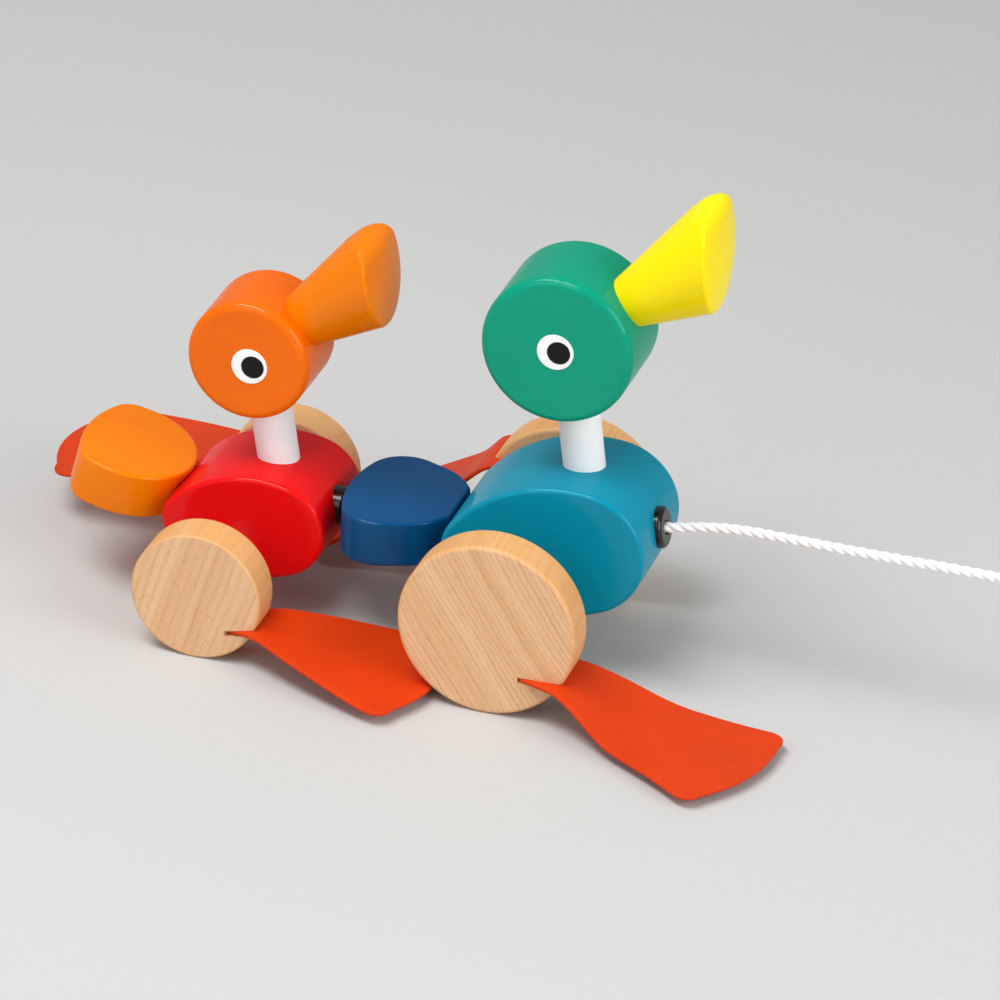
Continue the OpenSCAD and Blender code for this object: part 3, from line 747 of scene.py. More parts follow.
def carved(shape: bmesh.types.BMesh, *cutters: bmesh.types.BMesh) -> bmesh.types.BMesh:
    """Cuts shapes out of a shape and frees them all.

    Args:
        shape: what is cut.
        cutters: closed shapes to take away.

    Returns:
        What is left.
    """
    things = []
    for bm in (shape, *cutters):
        mesh = bpy.data.meshes.new("blank")
        bm.to_mesh(mesh)
        bm.free()
        thing = bpy.data.objects.new("blank", mesh)
        bpy.context.scene.collection.objects.link(thing)
        things.append(thing)
    for cutter in things[1:]:
        cut = things[0].modifiers.new("cut", "BOOLEAN")
        cut.operation = "DIFFERENCE"
        cut.solver = "EXACT"
        cut.object = cutter
    bpy.context.view_layer.update()
    graph = bpy.context.evaluated_depsgraph_get()
    result = bpy.data.meshes.new_from_object(things[0].evaluated_get(graph))
    left = bmesh.new()
    left.from_mesh(result)
    bpy.data.meshes.remove(result)
    for thing in things:
        mesh = thing.data
        bpy.data.objects.remove(thing)
        bpy.data.meshes.remove(mesh)
    return left


@dataclass(frozen=True)
class Bench:
    """Sets shapes built in millimetres about the lead axle into the frame as dressed pieces."""

    origin: Vector

    def place(self, point: Vector) -> Vector:
        """A bench point in the frame, in metres."""
        return self.origin + point * MM

    def piece(
        self,
        name: str,
        bm: bmesh.types.BMesh,
        finish: Finish,
        body: str,
        nodes: tuple[str, ...],
        crease: float = 35.0,
    ) -> bpy.types.Object:
        """Makes a piece from a shape, dresses it and lets it ride on its body.

        Args:
            name: the piece's name.
            bm: its shape, which is freed.
            finish: its finish.
            body: the body that it rides on.
            nodes: the nodes that it stands for.
            crease: angle past which an edge stays sharp, in degrees.

        Returns:
            The piece.
        """
        bmesh.ops.scale(bm, vec=(MM, MM, MM), verts=bm.verts[:])
        bmesh.ops.translate(bm, verts=bm.verts[:], vec=self.origin)
        mesh = bpy.data.meshes.new(name)
        bm.to_mesh(mesh)
        bm.free()
        mesh.materials.append(finish.material())
        mesh.shade_smooth()
        mesh.set_sharp_from_angle(angle=math.radians(crease))
        piece = bpy.data.objects.new(name, mesh)
        bpy.context.scene.collection.objects.link(piece)
        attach(piece, body)
        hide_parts(*nodes)
        LOG.info("%s: %d faces, rides on %s", name, len(mesh.polygons), body)
        return piece

    @staticmethod
    def even_shading(piece: bpy.types.Object) -> None:
        """Keeps broad flat faces flat beside their rounded edges."""
        even = piece.modifiers.new("even_shading", "WEIGHTED_NORMAL")
        even.mode = "FACE_AREA"
        even.weight = 50
        even.keep_sharp = True


# Camera and studio


@dataclass(frozen=True)
class Studio:
    """Camera at the photograph's viewing angle, pale floor and soft light."""

    bench: Bench
    camera_at: Vector = Vector((424.73, -1485.16, 848.58))
    azimuth: float = 16.3282
    elevation: float = 27.5385
    roll: float = -2.7641
    lens: float = 231.01
    floor_half: float = 2.5
    floor_tint: Tint = Tint(196, 196, 195)
    sky: float = 0.42

    def set_camera(self) -> None:
        """Makes the scene's camera."""
        a = math.radians(self.azimuth)
        e = math.radians(self.elevation)
        r = math.radians(self.roll)
        right = Vector((math.cos(a), math.sin(a), 0))
        back = Vector((math.sin(a) * math.cos(e), -math.cos(a) * math.cos(e), math.sin(e)))
        up = back.cross(right)
        tilted_right = right * math.cos(r) - up * math.sin(r)
        tilted_up = right * math.sin(r) + up * math.cos(r)
        data = bpy.data.cameras.new("photo_camera")
        data.sensor_width = 36.0
        data.lens = self.lens
        camera = bpy.data.objects.new("photo_camera", data)
        bpy.context.scene.collection.objects.link(camera)
        turn = Matrix((tilted_right, tilted_up, back)).transposed().to_4x4()
        camera.matrix_world = Matrix.Translation(self.bench.place(self.camera_at)) @ turn
        bpy.context.scene.camera = camera

    def lay_floor(self) -> None:
        """Lays the pale floor."""
        bm = bmesh.new()
        bmesh.ops.create_grid(bm, x_segments=1, y_segments=1, size=self.floor_half)
        mesh = bpy.data.meshes.new("studio_floor")
        bm.to_mesh(mesh)
        bm.free()
        mesh.materials.append(StudioPaper("floor", "studio_paper", self.floor_tint).material())
        floor = bpy.data.objects.new("studio_floor", mesh)
        bpy.context.scene.collection.objects.link(floor)

    def hang_light(
        self, name: str, at: Vector, toward: Vector, size: tuple[float, float], level: float
    ) -> None:
        """Hangs a soft rectangular lamp.

        Args:
            name: the lamp's name.
            at: where it hangs, in metres from the toy.
            toward: the point that it faces, in metres from the toy.
            size: width and height in metres.
            level: brightness of its surface, where 1 is white.
        """
        data = bpy.data.lights.new(name, "AREA")
        data.shape = "RECTANGLE"
        data.size, data.size_y = size
        data.energy = level * math.pi * size[0] * size[1]
        lamp = bpy.data.objects.new(name, data)
        lamp.location = at
        lamp.rotation_euler = (at - toward).to_track_quat("Z", "Y").to_euler()
        bpy.context.scene.collection.objects.link(lamp)

    def light(self) -> None:
        """Lights the toy from a broad box overhead and an even room."""
        middle = Vector((0, 0, 0.05))
        self.hang_light("overhead_box", Vector((-0.3, -0.36, 1.1)), middle, (1.0, 0.36), 9.8)
        self.hang_light("front_box", Vector((-0.5, -1.5, 0.9)), middle, (1.2, 0.8), 1.5)
        self.hang_light("right_box", Vector((1.2, -0.45, 0.6)), middle, (0.9, 0.8), 4.2)
        world = bpy.data.worlds.new("studio_room")
        world.use_nodes = True
        air = next(n for n in world.node_tree.nodes if n.type == "BACKGROUND")
        air.inputs["Color"].default_value = (1, 1, 1, 1)
        air.inputs["Strength"].default_value = self.sky
        bpy.context.scene.world = world
        bpy.context.scene.view_settings.view_transform = "Standard"


# Pull cord


@dataclass(frozen=True)
class PullCord:
    """Laid cotton cord held taut from the chest to its end knot, and the grommet that it leaves by."""

    bench: Bench
    diameter: float = 3.0
    length: float = 107.5
    lay: float = 9.6
    strands: int = 3
    strand_off: float = 0.62
    strand_r: float = 0.88
    sides: int = 36
    step: float = 0.3
    body_middle: Vector = Vector((7, 0, 37.45))
    body_half: float = 28.8
    body_tilt: float = 10.0
    stop_knot_back: float = 9.3
    end_knot_off: float = 3.65
    end_tail: float = 7.0
    knot_size: float = 1.75
    crease: float = 80.0
    grommet_face: float = 1.6

    def along(self, distance: float) -> Vector:
        """Point on the body's long line, measured out from the chest tip."""
        return self.body_middle + heading(self.body_tilt) * (self.body_half + distance)

    def route(self) -> list[Vector]:
        """The cord's chosen points from inside the chest to its hand end."""
        inside = [self.along(d) for d in (-5.6, -2.0, 3.0)]
        heights = (
            (46, 44.6), (54, 45.7), (62, 46.1), (70, 46), (78, 46), (86, 45.9), (94, 45.9),
            (102, 45.9), (110, 46), (118, 46), (126, 46), (132, 46), (137, 46),
        )
        return inside + [Vector((x, 0, z)) for x, z in heights]

    @staticmethod
    def smooth(points: list[Vector], step: float) -> list[Vector]:
        """Points at even steps on a smooth line through given points.

        Args:
            points: the points to pass through.
            step: distance between new points.

        Returns:
            The new points, the last of the given ones among them.
        """
        dense = []
        last = len(points) - 1
        for i in range(last):
            a, b = points[max(0, i - 1)], points[i]
            c, d = points[i + 1], points[min(last, i + 2)]
            parts = max(2, round((c - b).length / step))
            for k in range(parts):
                t = k / parts
                dense.append(
                    0.5
                    * (
                        2 * b
                        + (c - a) * t
                        + (2 * a - 5 * b + 4 * c - d) * t * t
                        + (3 * b - a - 3 * c + d) * t * t * t
                    )
                )
        return [*dense, points[last]]

    def lobe(self, angle: float) -> float:
        """Radius of the laid section at an angle, in radians from a strand's crown."""
        part = 2 * math.pi / self.strands
        off = (angle + part / 2) % part - part / 2
        reach = self.strand_r**2 - (self.strand_off * math.sin(off)) ** 2
        return self.strand_off * math.cos(off) + math.sqrt(reach)

    def swept(self, line: list[Vector], across: Vector, flare: float = 1.0) -> bmesh.types.BMesh:
        """Sweeps the laid section along a line.

        Args:
            line: the points to follow.
            across: a direction that the line never runs along.
            flare: widening at the last point.

        Returns:
            The cord's mesh, with a UV map round and along it.
        """
        bm = bmesh.new()
        rings = []
        gone = 0.0
        marks = []
        last = len(line) - 1
        for i, point in enumerate(line):
            ahead = (line[min(last, i + 1)] - line[max(0, i - 1)]).normalized()
            side = across.cross(ahead).normalized()
            top = ahead.cross(side)
            if i:
                gone += (point - line[i - 1]).length
            twist = 2 * math.pi * gone / self.lay
            grown = 1 + (flare - 1) * ease(i / last)
            ring = []
            for k in range(self.sides):
                a = 2 * math.pi * k / self.sides
                r = self.lobe(a) * grown
                out = side * math.cos(a + twist) + top * math.sin(a + twist)
                ring.append(bm.verts.new(point + r * out))
            rings.append(ring)
            marks.append(gone / self.diameter)
        chart = bm.loops.layers.uv.new("lay")
        for i in range(last):
            for k in range(self.sides):
                n = (k + 1) % self.sides
                face = bm.faces.new((rings[i][k], rings[i][n], rings[i + 1][n], rings[i + 1][k]))
                around = (k, k + 1, k + 1, k)
                along = (i, i, i + 1, i + 1)
                for loop, u, v in zip(face.loops, around, along):
                    loop[chart].uv = (u / self.sides, marks[v])
        for ring in (rings[0], rings[last]):
            bm.faces.new(ring)
        bmesh.ops.recalc_face_normals(bm, faces=bm.faces[:])
        return bm

    def knot_line(self, middle: Vector, size: float) -> list[Vector]:
        """Points of an overhand knot drawn up tight.

        Args:
            middle: the knot's middle.
            size: radius of the knot's ring line.

        Returns:
            The points, from one end of the knot to the other.
        """
        turns = 150
        points = []
        for i in range(turns + 1):
            t = 2 * math.pi * (i / turns) + 0.35
            ring = size + 0.48 * size * math.cos(3 * t)
            swing = 0.62 * size * math.sin(3 * t)
            points.append(middle + Vector((ring * math.cos(2 * t), swing, ring * math.sin(2 * t))))
        return points

    def knot(self, middle: Vector, tail: float) -> bmesh.types.BMesh:
        """A tight knot, with a short loose tail where asked.

        Args:
            middle: the knot's middle.
            tail: length of the tail past the knot, 0 for none.

        Returns:
            The knot's mesh.
        """
        tight = self.swept(self.knot_line(middle, self.knot_size), Vector((0.05, 1, 0.08)))
        if not tail:
            return tight
        reach = (0.0, 0.35, 0.7, 1.0)
        droop = (0.0, 0.05, -0.35, -1.1)
        bend = [middle + Vector((1.5 + tail * a, 0.3 * a, b)) for a, b in zip(reach, droop)]
        return joined(tight, self.swept(self.smooth(bend, self.step), Y_AXIS, 1.3))

    def cotton(self, node: str, bm: bmesh.types.BMesh) -> bpy.types.Object:
        """Sets one cotton shape as the piece that stands for its node."""
        return self.bench.piece(f"{node}_cotton", bm, CORD_COTTON, Duck.LEAD.carcass, (node,), self.crease)

    def build(self) -> None:
        """Makes the cord and its two knots."""
        route = self.route()
        line = self.smooth(route, self.step)
        cord = self.cotton("pull_cord", self.swept(line, Y_AXIS))
        stop = self.cotton("cord_stop_knot", self.knot(self.along(-self.stop_knot_back), 0.0))
        end = self.cotton("cord_end_knot", self.knot(route[-1] + X_AXIS * self.end_knot_off, self.end_tail))
        self.bench.place(self.along(self.grommet_face))
        [self.bench.place(p) for p in line]

    def build_grommet(self, bush_r: float = 4.0, flange_r: float = 5.8, bore_r: float = 1.8) -> None:
        """Makes the black grommet at the chest.

        Args:
            bush_r: radius of the part inside the chest.
            flange_r: radius of the rim that shows.
            bore_r: radius of the hole for the cord.
        """
        deep, seat, face = -5.4, -1.4, self.grommet_face
        section = (
            (deep, bore_r),
            (face, bore_r),
            (face, flange_r),
            (seat, flange_r),
            (seat, bush_r),
            (deep, bush_r),
        )
        bm = turned_ring(section, X_AXIS, 72)
        front = [e for e in rims(bm, X_AXIS, both=False) if e.verts[0].co.x > 1]
        outer = [e for e in front if e.verts[0].co.yz.length > bush_r]
        inner = [e for e in front if e not in outer]
        rounded(bm, outer, 1.3, 6)
        rounded(bm, [e for e in inner if e.is_valid], 0.7, 4)
        turn = Matrix.Rotation(math.radians(-self.body_tilt), 3, "Y")
        bmesh.ops.rotate(bm, verts=bm.verts[:], cent=(0, 0, 0), matrix=turn)
        bmesh.ops.translate(bm, verts=bm.verts[:], vec=self.along(0))
        grommet = self.bench.piece(
            "chest_grommet_black", bm, GROMMET_BLACK, Duck.LEAD.carcass, ("chest_grommet",)
        )
        self.bench.even_shading(grommet)


# Painted ducks


@dataclass(frozen=True)
class BodySizes:
    """Four-arc body: half length, radii, width, tilt and middle."""

    half: float
    chest_r: float
    rump_r: float
    back_r: float
    width: float
    tilt: float
    middle: Vector
    edge: float = 1.2

    def arcs(self) -> tuple[float, float, float, float, float, float]:
        """Places of the arc centres and the angles where the arcs meet.

        Returns:
            Chest centre, rump centre, back centre along and down, chest angle, rump angle.
        """
        chest = self.half - self.chest_r
        rump = self.rump_r - self.half
        df = self.back_r - self.chest_r
        dr = self.back_r - self.rump_r
        along = (df * df - dr * dr + rump * rump - chest * chest) / (2 * (rump - chest))
        down = math.sqrt(df * df - (along - chest) ** 2)
        front = math.degrees(math.atan2(down, chest - along))
        rear = math.degrees(math.atan2(down, rump - along))
        return chest, rump, along, down, front, rear


@dataclass(frozen=True)
class BeakSizes:
    """Flared beak: rise, radius at the head's rim, flare, and a bulging end with a rounded upper tip."""

    rise: float
    radius: float
    flare: float
    reach: float
    tip_r: float
    stand: float
    lean: float
    end_r: float = 60.0
    lip: float = 0.9
    inside: float = 6.0


@dataclass(frozen=True)
class BeakForm:
    """The beak as a rounded meeting of a cone and a bulging end, read along rays from its middle."""

    sizes: BeakSizes
    head: Vector
    head_r: float
    far: float = 60.0
    halvings: int = 22

    def ball(self) -> Vector:
        """Middle of the ball that the end is part of."""
        s = self.sizes
        return self.head + heading(s.rise) * s.reach + heading(s.lean) * (s.stand - s.end_r)

    def tip(self) -> Vector:
        """Middle of the rounding that runs from the cone's upper line into the end."""
        s = self.sizes
        line = heading(s.rise + s.flare)
        inward = heading(s.rise + s.flare - 90)
        rim = self.head + heading(s.rise) * self.head_r + heading(s.rise + 90) * s.radius
        start = rim + inward * s.tip_r
        away = start - self.ball()
        run = away.dot(line)
        return start + line * (math.sqrt(run * run - away.length_squared + (s.end_r - s.tip_r) ** 2) - run)

    def middle(self) -> Vector:
        """The point on the axis that the rays start from."""
        return self.head + heading(self.sizes.rise) * ((self.head_r + self.sizes.reach) / 2)

    def past_cone(self, spot: Vector) -> float:
        """How far a point lies outside the cone."""
        s = self.sizes
        away = spot - self.head
        along = away.dot(heading(s.rise))
        off = math.sqrt(max(0.0, away.length_squared - along * along))
        flare = math.radians(s.flare)
        return (off - s.radius - (along - self.head_r) * math.tan(flare)) * math.cos(flare)

    def past_end(self, spot: Vector) -> float:
        """How far a point lies beyond the bulging end or its rounded upper tip."""
        s = self.sizes
        level = spot + heading(s.lean) * (spot.y**2 / (2 * s.end_r))
        level.y = 0.0
        ball, tip = self.ball(), self.tip()
        away = level - tip
        touch = math.atan2(tip.z - ball.z, tip.x - ball.x)
        angle = math.atan2(away.z, away.x)
        if touch < angle < math.radians(s.rise + s.flare + 90):
            return away.length - s.tip_r
        return (level - ball).length - s.end_r

    def past(self, spot: Vector) -> float:
        """How far a point lies outside the beak, whose lip is rounded."""
        s = self.sizes
        a, b = self.past_cone(spot), self.past_end(spot)
        root = self.head_r - s.inside - (spot - self.head).dot(heading(s.rise))
        both = max(a, b)
        if a > -s.lip and b > -s.lip:
            both = math.hypot(a + s.lip, b + s.lip) - s.lip
        return max(both, root)

    def skin(self, way: Vector) -> Vector:
        """The beak's surface along a ray from its middle."""
        middle = self.middle()
        near, far = 0.0, self.far
        for _ in range(self.halvings):
            half = (near + far) / 2
            if self.past(middle + way * half) > 0:
                far = half
            else:
                near = half
        return middle + way * near

    def rim_angle(self, sideways: Vector) -> float:
        """Angle between the axis and the lip, on one side of the axis.

        Args:
            sideways: unit vector square to the axis.

        Returns:
            The angle in radians.
        """
        out = heading(self.sizes.rise)
        low, high = 0.0, math.pi * 0.7
        for _ in range(14):
            half = (low + high) / 2
            spot = self.skin(out * math.cos(half) + sideways * math.sin(half))
            if self.past_end(spot) > self.past_cone(spot):
                low = half
            else:
                high = half
        return low


@dataclass(frozen=True)
class HeadSizes:
    """Head disc, neck, eyes and beak."""

    middle: Vector
    radius: float
    thick: float
    lean: float
    neck_from: float
    neck_to: float
    beak: BeakSizes
    eye_off: Vector = Vector((0, 0, 0))
    edge: float = 2.3
    neck_r: float = 5.8
    eye_r: float = 5.1
    eye_proud: float = 0.25
    eye_deep: float = 1.4
    pupil_r: float = 3.25
    pupil_ahead: float = 1.0
    pupil_proud: float = 0.35
    pupil_deep: float = 0.5
    neck_edge: float = 0.6
    eye_edge: float = 0.18
    pupil_edge: float = 0.09


@dataclass(frozen=True)
class TailSizes:
    """Tail slab made of tangent arcs, lying back from its front tip, which may be cut off flat."""

    tip: Vector
    lift: float
    length: float
    front_r: float
    corner_r: float
    back_r: float
    corner_off: float
    flat: float = 0.0
    thick: float = 13.4
    edge: float = 1.0


@dataclass(frozen=True)
class DuckPaints:
    """The four paints of one duck."""

    body: Paint
    head: Paint
    beak: Paint
    tail: Paint


@dataclass(frozen=True)
class PaintedDuck:
    """A wooden duck without its wheels: body, neck, head, beak, eyes and tail."""

    bench: Bench
    duck: Duck
    axle: Vector
    body: BodySizes
    head: HeadSizes
    tail: TailSizes
    paints: DuckPaints
    axle_bore: float = 3.08

    def named(self, piece: str) -> str:
        """Name of one of this duck's nodes or pieces."""
        return f"{self.duck.value}_{piece}"

    def set_piece(self, piece: str, ending: str, bm: bmesh.types.BMesh, finish: Finish) -> bpy.types.Object:
        """Sets one shape as the piece that stands for its node.

        Args:
            piece: the node's name without the duck's word.
            ending: last word of the piece's own name.
            bm: its shape.
            finish: its finish.

        Returns:
            The piece.
        """
        node = self.named(piece)
        made = self.bench.piece(f"{node}_{ending}", bm, finish, self.duck.carcass, (node,))
        self.bench.even_shading(made)
        return made

    def build_body(self) -> None:
        """Draws the body's side outline, thickens it, rounds its rims and bores it for the axle."""
        s = self.body
        chest, rump, along, down, front, rear = s.arcs()
        bm = bmesh.new()
        turn = -Y_AXIS
        chest_c = Vector((chest, 0, 0))
        start = bm.verts.new(chest_c + heading(-front) * s.chest_r)
        top = drawn_arc(bm, start, chest_c, turn, 2 * front, 56)
        back = drawn_arc(bm, top, Vector((along, 0, -down)), turn, rear - front, 44)
        low = drawn_arc(bm, back, Vector((rump, 0, 0)), turn, 360 - 2 * rear, 40)
        drawn_arc(bm, low, Vector((along, 0, down)), turn, rear - front, 44)
        thickened(bm, Y_AXIS, s.width)
        rounded(bm, rims(bm, Y_AXIS), s.edge, 4)
        bmesh.ops.rotate(
            bm, verts=bm.verts[:], cent=(0, 0, 0), matrix=Matrix.Rotation(math.radians(-s.tilt), 3, "Y")
        )
        bmesh.ops.translate(bm, verts=bm.verts[:], vec=s.middle)
        reach = Y_AXIS * s.width
        bore = rod(self.axle_bore, self.axle - reach, self.axle + reach, 48)
        self.set_piece("body", "wood", carved(bm, bore), self.paints.body)

    def build_neck(self) -> None:
        """Turns the neck dowel."""
        s = self.head
        down = Matrix.Rotation(math.radians(-s.lean), 3, "Y") @ -Z_AXIS
        bm = rod(s.neck_r, s.middle + down * s.neck_to, s.middle + down * s.neck_from, 72)
        rounded(bm, rims(bm, down), s.neck_edge, 3)
        self.set_piece("neck", "dowel", bm, WHITE)

    def build_head(self) -> None:
        """Turns the head disc with its soft rims."""
        s = self.head
        half = Y_AXIS * (s.thick / 2)
        bm = rod(s.radius, s.middle - half, s.middle + half, 144)
        rounded(bm, rims(bm, Y_AXIS), s.edge, 7)
        self.set_piece("head", "disc", bm, self.paints.head)

    def build_beak(self, segments: int = 96, rings: int = 72) -> None:
        """Draws a ball out to the beak's form, with its rings gathered at the lip.

        Args:
            segments: vertices round the axis.
            rings: rows from the end to the root.
        """
        form = BeakForm(self.head.beak, self.head.middle, self.head.radius)
        out = heading(self.head.beak.rise)
        over = Vector((-out.z, 0, out.x))
        bm = bmesh.new()
        bmesh.ops.create_uvsphere(bm, u_segments=segments, v_segments=rings, radius=1.0)
        lips: dict[int, float] = {}
        for vert in bm.verts:
            round_at = math.atan2(vert.co.y, vert.co.x)
            sideways = over * math.cos(round_at) + Y_AXIS * math.sin(round_at)
            place = round(math.degrees(round_at) * 100)
            if place not in lips:
                lips[place] = form.rim_angle(sideways)
            angle = gathered(math.acos(max(-1.0, min(1.0, vert.co.z))), lips[place])
            vert.co = form.skin(out * math.cos(angle) + sideways * math.sin(angle))
        bmesh.ops.recalc_face_normals(bm, faces=bm.faces[:])
        self.set_piece("beak", "cone", bm, self.paints.beak)

    def build_eyes(self) -> None:
        """Sets the white discs and pupils on both sides of the head."""
        s = self.head
        for side in Side:
            out = Y_AXIS * side.value
            face = s.middle + s.eye_off + out * (s.thick / 2)
            white = rod(s.eye_r, face - out * s.eye_deep, face + out * s.eye_proud, 72)
            rounded(white, rims(white, out, both=False), s.eye_edge, 3)
            self.set_piece(f"eye_{side.word}", "disc", white, EYE_WHITE)
            look = face + X_AXIS * s.pupil_ahead
            dark = rod(s.pupil_r, look - out * s.pupil_deep, look + out * s.pupil_proud, 72)
            rounded(dark, rims(dark, out, both=False), s.pupil_edge, 2)
            self.set_piece(f"pupil_{side.word}", "disc", dark, EYE_BLACK)

    def tail_shape(self) -> bmesh.types.BMesh:
        """Draws the tail's outline from tangent arcs and makes it a slab lying back from its tip.

        Returns:
            The slab, in its place on the bench.
        """
        s = self.tail
        corner_x = s.length - s.back_r + math.sqrt((s.back_r - s.corner_r) ** 2 - s.corner_off**2)
        lean = Vector((corner_x - s.front_r, s.corner_off))
        touch = math.degrees(math.atan2(lean.y, lean.x) + math.acos((s.front_r - s.corner_r) / lean.length))
        back_x = s.length - s.back_r
        back_turn = math.degrees(math.atan2(s.corner_off, corner_x - back_x))
        bm = bmesh.new()

        def spot(degrees: float) -> Vector:
            """Direction in the slab's plane."""
            a = math.radians(degrees)
            return Vector((math.cos(a), math.sin(a), 0))

        front = Vector((s.front_r, 0, 0))
        cut = 180 - math.degrees(math.acos((s.front_r - s.flat) / s.front_r))
        start = bm.verts.new(front + spot(touch) * s.front_r)
        flat_from = drawn_arc(bm, start, front, Z_AXIS, cut - touch, 30)
        flat_to = bm.verts.new(front + spot(-cut) * s.front_r)
        far_front = drawn_arc(bm, flat_to, front, Z_AXIS, cut - touch, 30)
        corner = Vector((corner_x, -s.corner_off, 0))
        near = bm.verts.new(corner + spot(-touch) * s.corner_r)
        turned = drawn_arc(bm, near, corner, Z_AXIS, touch - back_turn, 26)
        across = drawn_arc(bm, turned, Vector((back_x, 0, 0)), Z_AXIS, 2 * back_turn, 36)
        other = Vector((corner_x, s.corner_off, 0))
        finish = drawn_arc(bm, across, other, Z_AXIS, touch - back_turn, 26)
        bm.edges.new((flat_from, flat_to))
        bm.edges.new((far_front, near))
        bm.edges.new((finish, start))
        thickened(bm, Z_AXIS, s.thick)
        rounded(bm, rims(bm, Z_AXIS), s.edge, 5)
        turn = Matrix.Rotation(math.radians(s.lift), 3, "Y") @ Matrix.Rotation(math.pi, 3, "Z")
        bmesh.ops.rotate(bm, verts=bm.verts[:], cent=(0, 0, 0), matrix=turn)
        bmesh.ops.translate(bm, verts=bm.verts[:], vec=s.tip)
        return bm

    def build_tail(self, *cutters: bmesh.types.BMesh) -> None:
        """Makes the tail.

        Args:
            cutters: shapes to take out of it.
        """
        bm = self.tail_shape()
        if cutters:
            bm = carved(bm, *cutters)
        self.set_piece("tail", "slab", bm, self.paints.tail)

    def build(self, *tail_cutters: bmesh.types.BMesh) -> None:
        """Makes every piece of the duck.

        Args:
            tail_cutters: shapes to take out of its tail.
        """
        self.build_body()
        self.build_neck()
        self.build_head()
        self.build_beak()
        self.build_eyes()
        self.build_tail(*tail_cutters)


# Hitch


@dataclass(frozen=True)
class Hitch:
    """Black link from the second chest to the pin in the lead tail."""

    bench: Bench
    pin: Vector
    chest_x: float
    pin_r: float = 2.0
    link_t: float = 3.6
    link_w: float = 7.0
    eye_r: float = 5.0
    flange_r: float = 5.6
    flange_out: float = 0.9
    mortise: Vector = Vector((12.4, 13.5, 4.4))
    mortise_in: float = 5.6
    tail_under: float = 25.6
    pin_hole: float = 13.4
    pin_fit: float = 0.02
    pin_run: float = 0.08
    flange_deep: float = 4.0
    flange_edge: float = 0.5
    tongue_edge: float = 0.4

    def tail_cutters(self) -> tuple[bmesh.types.BMesh, bmesh.types.BMesh]:
        """The mortise and the pin's hole, to take out of the lead tail."""
        slot = bmesh.new()
        bmesh.ops.create_cube(slot, size=1.0)
        bmesh.ops.scale(slot, vec=self.mortise, verts=slot.verts[:])
        middle = self.pin + X_AXIS * (self.mortise_in - self.mortise.x / 2)
        bmesh.ops.translate(slot, verts=slot.verts[:], vec=middle)
        low = Vector((self.pin.x, self.pin.y, self.tail_under - 2))
        return slot, rod(self.pin_r + self.pin_fit, low, low + Z_AXIS * self.pin_hole, 40)

    def build(self) -> None:
        """Makes the link: flange on the chest, tongue and eye on the pin."""
        face = self.chest_x + self.flange_out
        level = Vector((0, 0, self.pin.z))
        disc = rod(self.flange_r, level + X_AXIS * (face - self.flange_deep), level + X_AXIS * face, 64)
        rounded(disc, rims(disc, X_AXIS, both=False), self.flange_edge, 4)
        bm = bmesh.new()
        half = self.link_w / 2
        reach = math.sqrt(self.eye_r**2 - half**2)
        swing = math.degrees(math.atan2(half, reach))
        heel_low = bm.verts.new(Vector((face - 2, -half, self.pin.z)))
        heel_high = bm.verts.new(Vector((face - 2, half, self.pin.z)))
        start = bm.verts.new(self.pin + Vector((-reach, -half, 0)))
        over = drawn_arc(bm, start, self.pin, Z_AXIS, 360 - 2 * swing, 60)
        bm.edges.new((heel_low, start))
        bm.edges.new((over, heel_high))
        bm.edges.new((heel_high, heel_low))
        thickened(bm, Z_AXIS, self.link_t)
        rounded(bm, rims(bm, Z_AXIS), self.tongue_edge, 3)
        hole = rod(self.pin_r + self.pin_run, self.pin - Z_AXIS * 5, self.pin + Z_AXIS * 5, 40)
        link = self.bench.piece(
            "hitch_link_black",
            joined(disc, carved(bm, hole)),
            GROMMET_BLACK,
            Duck.SECOND.carcass,
            ("hitch_link",),
        )
        self.bench.even_shading(link)


# Wheels and flippers


